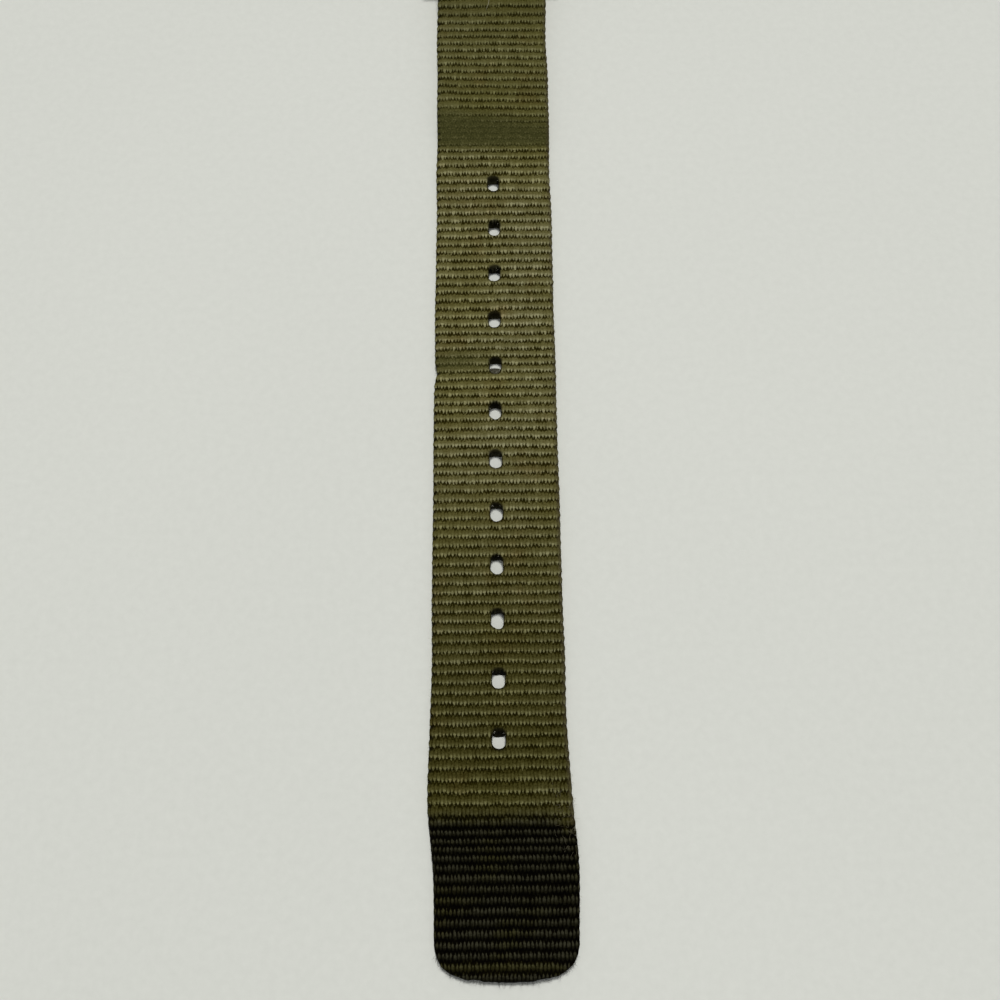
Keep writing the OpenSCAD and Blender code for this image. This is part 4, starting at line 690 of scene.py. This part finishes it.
nylon = webbing("olive_webbing")
dress(metal("steel_brushed", (0.68, 0.675, 0.66), 0.27, 5200.0, (1, 0.05, 1), 5),
      "case_middle", "buckle_frame", "buckle_tongue")
dress(circular_grain("steel_turned", (0.7, 0.695, 0.68), 0.22), "bezel", "case_back")
dress(metal("steel_polished", (0.75, 0.75, 0.74), 0.13, 6000.0, bump=1, spread=0.05),
      "crown", "crown_tube", "winding_stem", "winding_pinion", "sliding_pinion", "top_bar_tube",
      "top_bar_left_pin", "top_bar_right_pin", "tail_bar_tube", "tail_bar_left_pin", "tail_bar_right_pin",
      "buckle_bar", "cannon_pinion", "barrel_arbor", "ratchet_wheel", "escape_wheel", "pallet_fork",
      "rotor_bearing")
dress(glass("crystal_glass", (0.96, 0.98, 0.985)), "crystal")
dress(glass("back_glass", (0.95, 0.975, 0.97)), "back_window")
dress(plastic("rubber", (0.022, 0.022, 0.022), 0.55), "case_gaskets", "crown_gasket")
dress(plastic("dial_black", (0.009, 0.0095, 0.0085), 0.66, 16000.0, 4, 0.3, Specular_IOR_Level=0.12), "dial")
dress(circular_grain("chapter_black", (0.05, 0.05, 0.048), 0.45), "chapter_ring")
lume = dress(plastic("lume", (0.72, 0.7, 0.5), 0.7, 12000.0, 10, 0.1), "hour_markers")
print_white = plastic("print_white", (0.74, 0.73, 0.66), 0.55, 12000.0, 2, 0.06)
print_black = plastic("print_black", (0.02, 0.02, 0.02), 0.5)
dress(plastic("date_white", (0.78, 0.77, 0.72), 0.5, 9000.0, 2, 0.05), "date_ring")
dress(plastic("resin", (0.62, 0.61, 0.57), 0.45), "movement_ring")
dress(striped_plate("striped_plate"),
      "main_plate", "barrel_bridge", "train_bridge", "pallet_bridge", "balance_cock")
dress(metal("gilt_brass", (0.83, 0.62, 0.27), 0.26, 7000.0, bump=2, dull=(0.6, 0.42, 0.16)),
      "hour_wheel", "centre_wheel", "minute_wheel", "fourth_wheel", "third_wheel", "mainspring_barrel",
      "balance_wheel", "reversing_wheel")
dress(plastic("ruby", (0.42, 0.006, 0.035), 0.12, 3000.0, 0.3, 0.2, Coat_Weight=0.6),
      "jewels", "pallet_stones")
dress(metal("blued_steel", (0.05, 0.09, 0.3), 0.22, 6000.0, bump=1, dull=(0.03, 0.05, 0.2)),
      "bridge_screws")
dress(metal("spring_steel", (0.3, 0.33, 0.42), 0.25, 9000.0, (0.2, 0.2, 1), 1), "hairspring", "mainspring")
dress(circular_grain("rotor_finish", (0.66, 0.65, 0.62), 0.3), "rotor")
dress(metal("hand_steel", (0.7, 0.7, 0.68), 0.24, 9000.0, bump=1, spread=0.05),
      "hour_hand", "minute_hand", "seconds_hand")

# How wide, in millimetres, the edges of the metal and other hard pieces are eased
worn_edge = {
    0.12: ["case_middle", "case_back", "buckle_frame"],
    0.06: ["buckle_tongue", "rotor", "movement_ring"],
    0.03: ["hour_hand", "minute_hand", "hour_markers", "main_plate", "barrel_bridge", "train_bridge",
           "pallet_bridge", "balance_cock", "balance_wheel", "bridge_screws", "jewels", "top_bar_tube",
           "tail_bar_tube", "buckle_bar", "date_ring", "dial"],
}
for width, names in worn_edge.items():
    for name in names:
        joined = nodes[name].modifiers.new("joined", "WELD")
        joined.merge_threshold = MICRON
        eased = nodes[name].modifiers.new("eased_edges", "BEVEL")
        eased.limit_method = "ANGLE"
        eased.angle_limit = math.radians(35)
        eased.width = width * MM
        eased.segments = 2
        eased.harden_normals = True


# The tail half of the strap
tail_points = fold_points(0.0, TAIL_END) + [(TAIL_END, WEBBING_T / 2)]
tail_path = spline(tail_points, ROW)
tail_q = tail_path[0][:, 0]
tail_s = tail_path[1]
turn_row = int(np.argmin(tail_q))
s_to_q = tail_s[-1] - TAIL_END


def tail_cut(x, s):
    no_hole, first_y = 9.0, 50
    y = s - s_to_q
    d = np.full(np.shape(x), no_hole)
    for i in range(HOLE_COUNT):
        d = np.minimum(d, slot_distance(x, y, hole_at(i)))
    return np.where(y > first_y, d + 0.05 * waves(x, y, 21, 1.7), no_hole)


def spread(side, q):
    """How far wear has spread a side edge outwards, and the bend that carries the end to the right."""
    left = 0.35 * bell((q - LEFT_SPREAD_Y) / 7)
    right = 0.66 * bell((q - RIGHT_SPREAD_Y) / 9)
    return np.where(side > 0, right, -left), END_SHIFT * smooth((q - END_BEND_Y) / END_BEND_L)


def edge_x(side, q):
    return HALF_W * side + float(sum(spread(side, q)))


def tail_lean(s):
    """How far the head side of a hole's wall slants in: more in the last two, which wore most."""
    y = s - s_to_q
    return 0.65 + 0.7 * bell((y - hole_at(11)) / 3) + 0.4 * bell((y - hole_at(10)) / 3)


def tail_wide(x, q):
    """The tail's uneven width, with a small notch in its left edge."""
    out, bend = spread(x, q)
    x = x + out * np.abs(x) / HALF_W + bend
    notch = 0.35 * bell((q - NOTCH_Y) / 1.1) * smooth((-x - 7.5) / 1.5)
    return x + notch + 0.12 * waves(q, 0 * q, 11, 16.0)


def tail_press(x, q, s):
    """Flat at the slanting weld, and half flat at the fifth hole's crease, most at its left."""
    weld = smooth((q - WELD_BAND[0] - 0.15 * x) / 3.4) * smooth((WELD_BAND[1] - q) / 1.9)
    crease = smooth((3 - x) / 9) * 0.75 * bell((q - CREASE_Y) / 1.7)
    return np.where(s > HIDDEN_L, np.maximum(weld, crease), 0)


def tail_rows(x, q, s):
    """The rib number: from the list on the seen face, at an even pitch on the hidden layers."""
    at, count = np.array(ROWS_AT).T
    pitch = np.gradient(at, count)
    fine = np.arange(at[0], at[-1] + 0.05, 0.1)
    per_mm = 1 / np.interp(fine, at, pitch)
    total = np.concatenate([[0], np.cumsum((per_mm[1:] + per_mm[:-1]) * 0.05)])
    total += np.interp(fine, at, count - np.interp(at, fine, total))
    slant = q - 0.034 * x * bell((q - 44) / 8)
    seen = np.interp(slant, fine, total) + np.where(slant < fine[0], (slant - fine[0]) / RIB, 0)
    seen = seen + np.where(slant > fine[-1], (slant - fine[-1]) / END_RIB, 0)
    start = np.interp(at[0], tail_q[turn_row:], tail_s[turn_row:])
    return np.where(s > start, seen + 0.5, (s - start) / RIB + 0.5)


tail = strip(
    "tail_webbing", tail_path, True, lambda q, s: fold_thickness(q, s, 0.0), tail_cut, tail_press,
    tail_rows, rim_depth=0.4, tip=lambda x: s_to_q + ragged_tip(x), wide=tail_wide, lean=tail_lean,
)
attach(tail, "tail_strap")
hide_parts("strap_tail")


# The half of the strap at the buckle: a fold like the tail's, then round the buckle's bar and back
short_points = fold_points(SHORT_LIFT, BUCKLE_Y - 4.0) + [(BUCKLE_Y - 3.0, SHORT_LIFT + WEBBING_T / 2)]
short_points += loop_points(BUCKLE_Y, BUCKLE_Z, -128, 128)
for y in np.arange(BUCKLE_Y - 3.0, BUCKLE_Y - BUCKLE_FOLD_L + 2.0, -2.0):
    short_points.append((y, SHORT_LIFT + WEBBING_T * 1.5 + 0.01))
short_path = spline(short_points, ROW)
short_q = short_path[0][:, 0]
short_s = short_path[1]
turn = int(np.argmax(short_q))
s_turn = short_s[turn]
slot_start = np.interp(BUCKLE_Y + LOOP_R - SLOT_L, short_q[turn - 60:turn], short_s[turn - 60:turn])


def short_cut(x, s):
    """The slot for the tongue, in the loop round the buckle's bar."""
    return np.maximum(np.abs(x) - SLOT_W / 2, np.abs(s - s_turn) - (s_turn - slot_start))


def short_thickness(q, s):
    t = np.where(q > BUCKLE_Y - 1.5, LOOP_T, fold_thickness(q, s, SHORT_LIFT))
    end = short_s[-1] - s
    return np.where(end < WELD_L, np.clip(t * smooth(end / WELD_L + 0.12), 0.15, WEBBING_T), t)


def short_press(x, q, s):
    """Flat at both welds."""
    weld_from, weld_to, end_l = 49.5, 55.6, 6.6
    weld = smooth((q - weld_from) / 0.9) * smooth((weld_to - q) / 0.9)
    end = smooth((s - short_s[-1] + end_l) / 0.8)
    return np.where((s > HIDDEN_L) & (s < s_turn), weld, np.where(s > s_turn, end, 0))


short = strip(
    "buckle_side_webbing", short_path, False, short_thickness, short_cut, short_press,
    lambda x, q, s: s / RIB + 0.4, rim_depth=0.3,
)
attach(short, "buckle_strap")
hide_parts("strap_buckle_side")


# The keepers
def rounded_loop(half_w, half_h, r):
    """A closed rectangle with round corners, as points from its right side on."""
    points = []
    for a0, sx, sz in ((0, 1, 1), (90, -1, 1), (180, -1, -1), (270, 1, -1)):
        for a in np.radians(np.linspace(a0, a0 + 90, 7)):
            points.append((sx * (half_w - r) + r * math.cos(a), sz * (half_h - r) + r * math.sin(a)))
    return np.array(points + points[:1])


def keeper(name, node, body, phase):
    """A strip of the same webbing wound into a flat loop, in the space of the CAD keeper."""
    valley_depth, edge_from, edge_round = 0.13, 0.5, 0.52
    lo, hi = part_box(node)
    z0, x1, z1 = lo.z / MM, hi.x / MM, hi.z / MM
    cy = (lo.y + hi.y) / 2 / MM
    cz = (z0 + z1) / 2
    w = (hi.y - lo.y) / MM
    half_t = KEEPER_T / 2
    loop = rounded_loop(x1 - half_t, (z1 - z0) / 2 - half_t, KEEPER_CORNER_R)
    s = lengths_along(loop)
    ribs = round(s[-1] / RIB)
    n = ribs * ROWS_PER_RIB
    even = np.linspace(0, s[-1], n, endpoint=False)
    px, pz = np.interp(even, s, loop[:, 0]), np.interp(even, s, loop[:, 1])
    tx, tz = np.roll(px, -1) - np.roll(px, 1), np.roll(pz, -1) - np.roll(pz, 1)
    length = np.hypot(tx, tz)
    nx, nz = tz / length, -tx / length
    across = np.linspace(-w / 2, w / 2, 21)
    m = len(across)
    V = np.repeat((even / s[-1] * ribs)[:, None], m, 1)
    Y = np.repeat(across[None, :], n, 0)
    ribs_up = 0.5 + 0.5 * np.cos(2 * math.pi * V)
    side = rounded((np.abs(Y) - w / 2 + edge_from) / edge_round, 0.05)
    h = np.maximum((half_t - (1 - ribs_up) * valley_depth) * side, 0.03)
    px, pz, nx, nz = (v[:, None] for v in (px, pz, nx, nz))
    layers = [np.stack([px + way * nx * h, Y + cy, cz + pz + way * nz * h], 2) for way in (1, -1)]
    verts = np.concatenate(layers).reshape(-1, 3)
    N = n * m
    faces = []
    for i in range(n):
        k = (i + 1) % n
        for j in range(m - 1):
            a, b, c, e = i * m + j, k * m + j, k * m + j + 1, i * m + j + 1
            faces += [(a, b, c, e), (e + N, c + N, b + N, a + N)]
        for j in (0, m - 1):
            faces.append((i * m + j, k * m + j, k * m + j + N, i * m + j + N))
    weave = np.stack([Y / FLOAT_W, V + phase, 0 * Y], 2).reshape(-1, 3)
    flat = np.zeros(2 * N)
    ob = add_mesh(name, verts, faces, nylon, attributes=[
        ("weave", "FLOAT_VECTOR", np.concatenate([weave, weave])), ("rim", "FLOAT", flat),
        ("along", "FLOAT", flat)])
    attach(ob, body)
    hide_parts(node)


keeper("fixed_keeper_webbing", "fixed_keeper", "buckle_strap", 0.0)
keeper("free_keeper_webbing", "free_keeper", "free_keeper", 7.0)


# Loose fibres of the worn tail
def fibres(name, body, lines, material, radius):
    """Three-sided hairs along the lines, each thinner towards its end."""
    verts, faces = [], []
    for points in lines:
        p = np.array(points, float)
        for k in range(len(p)):
            t = p[min(k + 1, len(p) - 1)] - p[max(k - 1, 0)]
            t /= np.linalg.norm(t) + 1e-9
            a = np.cross(t, (0.3, 0.2, 0.9))
            a /= np.linalg.norm(a) + 1e-9
            b = np.cross(t, a)
            r = radius * (1 - 0.6 * k / len(p))
            for q in range(3):
                ang = 2 * math.pi * q / 3
                verts.append(p[k] + r * (a * math.cos(ang) + b * math.sin(ang)))
        base = len(verts) - 3 * len(p)
        for k in range(len(p) - 1):
            for q in range(3):
                w = (q + 1) % 3
                i = base + 3 * k
                faces.append((i + q, i + w, i + 3 + w, i + 3 + q))
        last = base + 3 * (len(p) - 1)
        faces.append((base, base + 1, base + 2))
        faces.append((last + 2, last + 1, last))
    ob = add_mesh(name, verts, faces, material)
    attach(ob, body)


def hair(root, direction, length, curl, floor=0.03):
    """A line that wanders from its root, and stays above the table."""
    steps = 6
    p = [np.array(root, float)]
    d = np.array(direction, float)
    d /= np.linalg.norm(d)
    for _ in range(steps):
        d = d + rng.normal(0, curl, 3)
        d /= np.linalg.norm(d)
        q = p[-1] + d * length / steps
        q[2] = max(q[2], floor)
        p.append(q)
    return p


def edge_fibres(count):
    """Long fibres at both edges, nearly half of them at the frayed right edge by the dark end."""
    for _ in range(count):
        side = 1 if rng.random() < 0.62 else -1
        y = rng.uniform(30, 168)
        if rng.random() < 0.45:
            y, side = rng.normal(154.5, 3.5), 1
        root = (edge_x(side, y) - 0.15 * side, -y, rng.uniform(0.25, 1.0))
        direction = (side, rng.normal(0, 1.1), rng.normal(0.1, 0.4))
        yield hair(root, direction, rng.uniform(0.25, 0.9), 0.35)


def hole_fibres():
    """Fibres that stand into the holes, with more and longer ones in the torn hole."""
    for i in range(HOLE_COUNT):
        torn = i == TORN_HOLE
        for _ in range(9 if torn else 4):
            a = rng.uniform(0.15, 0.85) * math.pi if torn else rng.uniform(0, 2 * math.pi)
            root = (0.9 * math.cos(a), -(hole_at(i) + HOLE_L / 2 * math.sin(a)), rng.uniform(0.7, 1.15))
            direction = (-math.cos(a), math.sin(a), 0.3)
            yield hair(root, direction, rng.uniform(0.3, 0.9 if torn else 0.5), 0.5)


def crossing_threads(count):
    """Weft threads that still cross the far end of the torn hole."""
    half = 0.92
    for _ in range(count):
        y = hole_at(TORN_HOLE) + rng.uniform(0.55, 1.4)
        sag, z = rng.uniform(-0.25, 0.1), rng.uniform(0.35, 1.0)
        yield [(x, -(y + sag * (1 - (x / half) ** 2)), z + rng.normal(0, 0.02))
               for x in np.linspace(-half, half, 7)]


def side_fuzz(count):
    """Short fuzz at both edges: the olive part's lines, then the sealed end's."""
    olive, dark = [], []
    for _ in range(count):
        side = -1 if rng.random() < 0.5 else 1
        y = rng.uniform(28, 169)
        root = (edge_x(side, y) - 0.2 * side, -y, rng.uniform(0.2, 1.05))
        direction = (side, rng.normal(0, 1.4), rng.normal(0.1, 0.5))
        line = hair(root, direction, rng.uniform(0.15, 0.5), 0.3)
        (dark if y > DARK_Y else olive).append(line)
    return olive, dark


def tip_fuzz(count):
    """Fuzz along the cut end."""
    for _ in range(count):
        x = rng.uniform(-8.8, 8.8)
        root = (x + END_SHIFT, -(tail_tip(x) + 0.1), rng.uniform(0.15, 1.0))
        direction = (0.12 * x + rng.normal(0, 0.5), -1, rng.normal(0, 0.4))
        yield hair(root, direction, rng.uniform(0.15, 0.75), 0.3)


def frayed_threads(count):
    """Fibres that lie on the face at the right, where the dark end begins."""
    for _ in range(count):
        y = rng.normal(155.5, 2.4)
        root = (rng.uniform(6.4, 9.1) + float(sum(spread(1, y))), -y, WEBBING_T)
        direction = (rng.normal(0, 1), rng.normal(0, 1), 0.1)
        yield hair(root, direction, rng.uniform(0.3, 1.0), 0.25, 0.6)


rng = np.random.default_rng(7)
worn = [*edge_fibres(150), *hole_fibres()]
crossing = list(crossing_threads(90))
olive_fuzz, dark_fuzz = side_fuzz(900)
dark_fuzz += tip_fuzz(260)
frayed = list(frayed_threads(60))
loose_end = [(-0.3, 28.0), (-0.42, 28.7), (-0.5, 29.3), (-0.75, 29.9), (-0.95, 30.4)]
loose_end = [(x, -y, strap_top(y, 0) + 0.03) for x, y in loose_end]

for name, lines, radius, material in (
    ("crossing_threads", crossing, 0.04, plastic("grey_thread", (0.085, 0.08, 0.055), 0.7, vary=0.5)),
    ("light_thread", [loose_end], 0.06, plastic("pale_thread", (0.4, 0.38, 0.25), 0.6)),
    ("worn_fibres", worn, 0.018, plastic("loose_fibre", (0.42, 0.41, 0.33), 0.6, vary=0.3)),
    ("frayed_threads", frayed, 0.02, plastic("frayed_thread", (0.095, 0.085, 0.05), 0.7, vary=0.6)),
    ("edge_fuzz", olive_fuzz, 0.014, plastic("olive_fibre", srgb(98, 94, 62)[:3], 0.7, vary=0.3)),
    ("end_fuzz", dark_fuzz, 0.016, plastic("singed_fibre", srgb(30, 29, 18)[:3], 0.6, vary=0.3)),
):
    fibres(name, "tail_strap", lines, material, radius)


# Printing on the dial and the date ring, and the hands' inlays
PRINT_T = 0.012
HOUR_TEXT, HOUR_TEXT_R = 2.5, 10.35
SMALL_TEXT, SMALL_TEXT_R = 1.0, 7.3
TRACK_IN, TRACK_OUT = 13.68, 14.08
DAYS, DATE_SHOWN = 31, 16
DATE_TEXT, DATE_TEXT_R = 1.55, 11.45
HOUR, MINUTE, SECOND = 10, 8, 36


def text_mesh(items, name, body, material, depth):
    """One mesh of the texts (string, size, x, y, z, angle), each centred on its place."""
    bm = bmesh.new()
    for string, size, x, y, z, angle in items:
        curve = bpy.data.curves.new("glyph", "FONT")
        curve.body = string
        curve.size = size * MM
        curve.align_x = curve.align_y = "CENTER"
        curve.extrude = depth * MM / 2
        curve.resolution_u = 3
        ob = add_object("glyph", curve)
        bpy.context.view_layer.update()
        me = bpy.data.meshes.new_from_object(ob.evaluated_get(bpy.context.evaluated_depsgraph_get()))
        at = np.array([v.co for v in me.vertices])
        mid = (at.min(0) + at.max(0)) / 2
        me.transform(Matrix.Translation((-mid[0], -mid[1], 0)))
        place = Matrix.Translation((x * MM, y * MM, z * MM + depth * MM / 2))
        me.transform(place @ Matrix.Rotation(angle, 4, "Z"))
        bm.from_mesh(me)
        bpy.data.objects.remove(ob)
        bpy.data.meshes.remove(me)
    me = bpy.data.meshes.new(name)
    bm.to_mesh(me)
    bm.free()
    me.materials.append(material)
    ob = add_object(name, me)
    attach(ob, body)


def prisms(name, body, shapes, z0, z1, material):
    """Flat outlines in plan, each a list of points, raised from z0 to z1."""
    verts, faces = [], []
    for outline in shapes:
        n, base = len(outline), len(verts)
        verts += [(x, y, z0) for x, y in outline] + [(x, y, z1) for x, y in outline]
        faces.append([base + n + i for i in range(n)])
        faces.append([base + i for i in reversed(range(n))])
        faces += [(base + i, base + (i + 1) % n, base + n + (i + 1) % n, base + n + i) for i in range(n)]
    ob = add_mesh(name, verts, faces, material, smooth_shade=False)
    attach(ob, body)


def turned(points, angle):
    c, s = math.cos(angle), math.sin(angle)
    return [(x * c - y * s, x * s + y * c) for x, y in points]


def clock_angle(hours):
    """The angle in plan of a place on a dial of twelve hours."""
    return math.radians(90 - 30 * hours)


dial_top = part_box("dial")[1].z / MM
numerals = []
for h in range(1, 25):
    size, r = (HOUR_TEXT, HOUR_TEXT_R) if h <= 12 else (SMALL_TEXT, SMALL_TEXT_R)
    if h != 3:
        a = clock_angle(h if h <= 12 else h - 12)
        numerals.append((str(h), size, r * math.cos(a), r * math.sin(a), dial_top, 0))
text_mesh(numerals, "dial_numerals", "case", print_white, PRINT_T)

ticks = []
for i in range(60):
    w = 0.11 if i % 5 == 0 else 0.06
    tick = [(TRACK_IN, -w), (TRACK_OUT, -w), (TRACK_OUT, w), (TRACK_IN, w)]
    ticks.append(turned(tick, math.radians(6 * i)))
prisms("minute_track", "case", ticks, dial_top, dial_top + PRINT_T, print_white)

date_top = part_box("date_ring")[1].z / MM
dates = []
for n in range(DAYS):
    a = 2 * math.pi * n / DAYS
    day = (n + DATE_SHOWN - 1) % DAYS + 1
    dates.append((str(day), DATE_TEXT, DATE_TEXT_R * math.cos(a), DATE_TEXT_R * math.sin(a), date_top, a))
text_mesh(dates, "date_numerals", "date_ring", print_black, 0.01)


def inlay(name, node, body, length, width, angle):
    """The lume of a hand: a bar with a blunt point, a little above the hand's face."""
    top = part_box(node)[1].z / MM
    w = width * 0.28
    root, shoulder, end = length * 0.26, length * 0.8, length * 0.9
    outline = [(root, -w), (shoulder, -w), (end, -0.05), (end, 0.05), (shoulder, w), (root, w)]
    prisms(name, body, [turned(outline, angle)], top - 0.01, top + 0.035, lume)


inlay("hour_hand_lume", "hour_hand", "hour_sleeve", 7.8, 1.5, clock_angle(HOUR + MINUTE / 60))
inlay("minute_hand_lume", "minute_hand", "minute_arbor", 11.8, 1.15, clock_angle((MINUTE + SECOND / 60) / 5))


# The floor, which is seen from above only, and is clear to the light from below and to mirror rays
def floor_material():
    m = Mat("pale_floor", Roughness=0.75, Specular_IOR_Level=0.25)
    broad = m.noise(6.0, 3.0)
    grain = m.noise(900.0, 3.0, 0.6)
    both = m.plus(m.times(broad, 0.5), m.times(grain, 0.5))
    m.link(Base_Color=m.ramp(both, [(0.2, srgb(206, 208, 202)), (0.8, srgb(218, 220, 214))]),
           Normal=m.bump(grain, 30, 0.3))
    clear = m.node("BsdfTransparent").outputs[0]
    rays = m.node("LightPath").outputs
    below = m.node("NewGeometry").outputs["Backfacing"]
    passing = m.math("MAXIMUM", rays["Is Shadow Ray"], rays["Is Glossy Ray"])
    pick = m.node("MixShader", (m.math("MAXIMUM", below, passing), m.p.outputs[0], clear))
    m.put(m.out.inputs["Surface"], pick.outputs[0])
    return m.m


FLOOR_HALF, FLOOR_Z = 9000, -0.02
corners = [(x * FLOOR_HALF, y * FLOOR_HALF, FLOOR_Z) for x, y in ((-1, -1), (1, -1), (1, 1), (-1, 1))]
floor = add_mesh("floor", corners, [(0, 1, 2, 3)], floor_material(), smooth_shade=False)


# Light: one soft lamp beyond the watch and one from below. Mirror rays, and rays in the glass, don't
# see the lamps. They see a graded room with four panels, and the camera sees a plain pale wall.
class Room(Mat):
    """The world's nodes, with the same short calls."""

    def __init__(self):
        world = bpy.data.worlds.new("room")
        world.use_nodes = True
        scene.world = world
        self.t = world.node_tree
        self.out = self.t.nodes["World Output"]
        self.way = self.node("TexCoord").outputs["Generated"]

    def background(self, colour, strength=1.0):
        return self.node("Background", (colour, strength)).outputs[0]

    def pick(self, fac, a, b):
        return self.node("MixShader", (fac, a, b)).outputs[0]

    def panel(self, towards, wide):
        """1 within about wide degrees of a direction, 0 well outside."""
        way = Vector(towards).normalized()
        dot = self.node("VectorMath", (self.way, way), operation="DOT_PRODUCT").outputs["Value"]
        return self.window(dot, math.cos(math.radians(wide * 1.5)), math.cos(math.radians(wide)))


room = Room()
height = room.xyz(room.way)[2]
mirrored = room.ramp(room.math("MULTIPLY_ADD", height, 0.5, 0.5), [
    (0.0, (0.3, 0.3, 0.3)), (0.25, (0.52, 0.525, 0.51)), (0.5, (0.72, 0.73, 0.7)), (0.61, (0.5, 0.505, 0.5)),
    (0.75, (0.24, 0.24, 0.245)), (1.0, (0.36, 0.36, 0.37))])
for towards, wide, colour in (
    ((0.5, -0.3, -0.8), 14, (0.8, 0.81, 0.8, 1)),
    (TO_LIGHT, 22, (1, 0.995, 0.98, 1)),
    ((-0.9, -0.2, 0.55), 15, (0.92, 0.94, 0.97, 1)),
    ((0.8, 0.5, 0.4), 10, (0.8, 0.8, 0.82, 1)),
):
    mirrored = room.mix(room.panel(towards, wide), mirrored, colour)
rays = room.node("LightPath").outputs
sky = room.pick(rays["Is Glossy Ray"], room.background((0.295, 0.298, 0.3, 1)), room.background(mirrored))
sky = room.pick(rays["Is Transmission Ray"], sky, room.background(mirrored, 2.0))
sky = room.pick(rays["Is Camera Ray"], sky, room.background((0.672, 0.682, 0.64, 1)))
room.put(room.out.inputs["Surface"], sky)


def soft_lamp(name, energy, wide, towards, colour=(1.0, 1.0, 1.0)):
    """A lamp that shines from a direction and is as wide as the angle in degrees."""
    light = bpy.data.lights.new(name, "SUN")
    light.energy = energy
    light.angle = math.radians(wide)
    light.color = colour
    lamp = add_object(name, light)
    lamp.rotation_euler = towards.to_track_quat("Z", "Y").to_euler()
    lamp.visible_glossy = lamp.visible_transmission = False


soft_lamp("ceiling_light", 2.65, 11, TO_LIGHT, (1.0, 0.99, 0.96))
soft_lamp("under_light", 1.5, 90, Vector((0.1, -0.15, -1.0)))

camera = add_object("camera", bpy.data.cameras.new("camera"))
camera.data.sensor_width = SENSOR_W
camera.data.lens = LENS
camera.data.clip_start, camera.data.clip_end = 0.005, 60.0
tilt = Matrix.Rotation(math.radians(CAMERA_TILT), 4, "X")
roll = Matrix.Rotation(math.radians(CAMERA_ROLL), 4, "Z")
camera.matrix_world = Matrix.Translation([c * MM for c in CAMERA_AT]) @ tilt @ roll
scene.camera = camera
scene.view_settings.view_transform = "Standard"
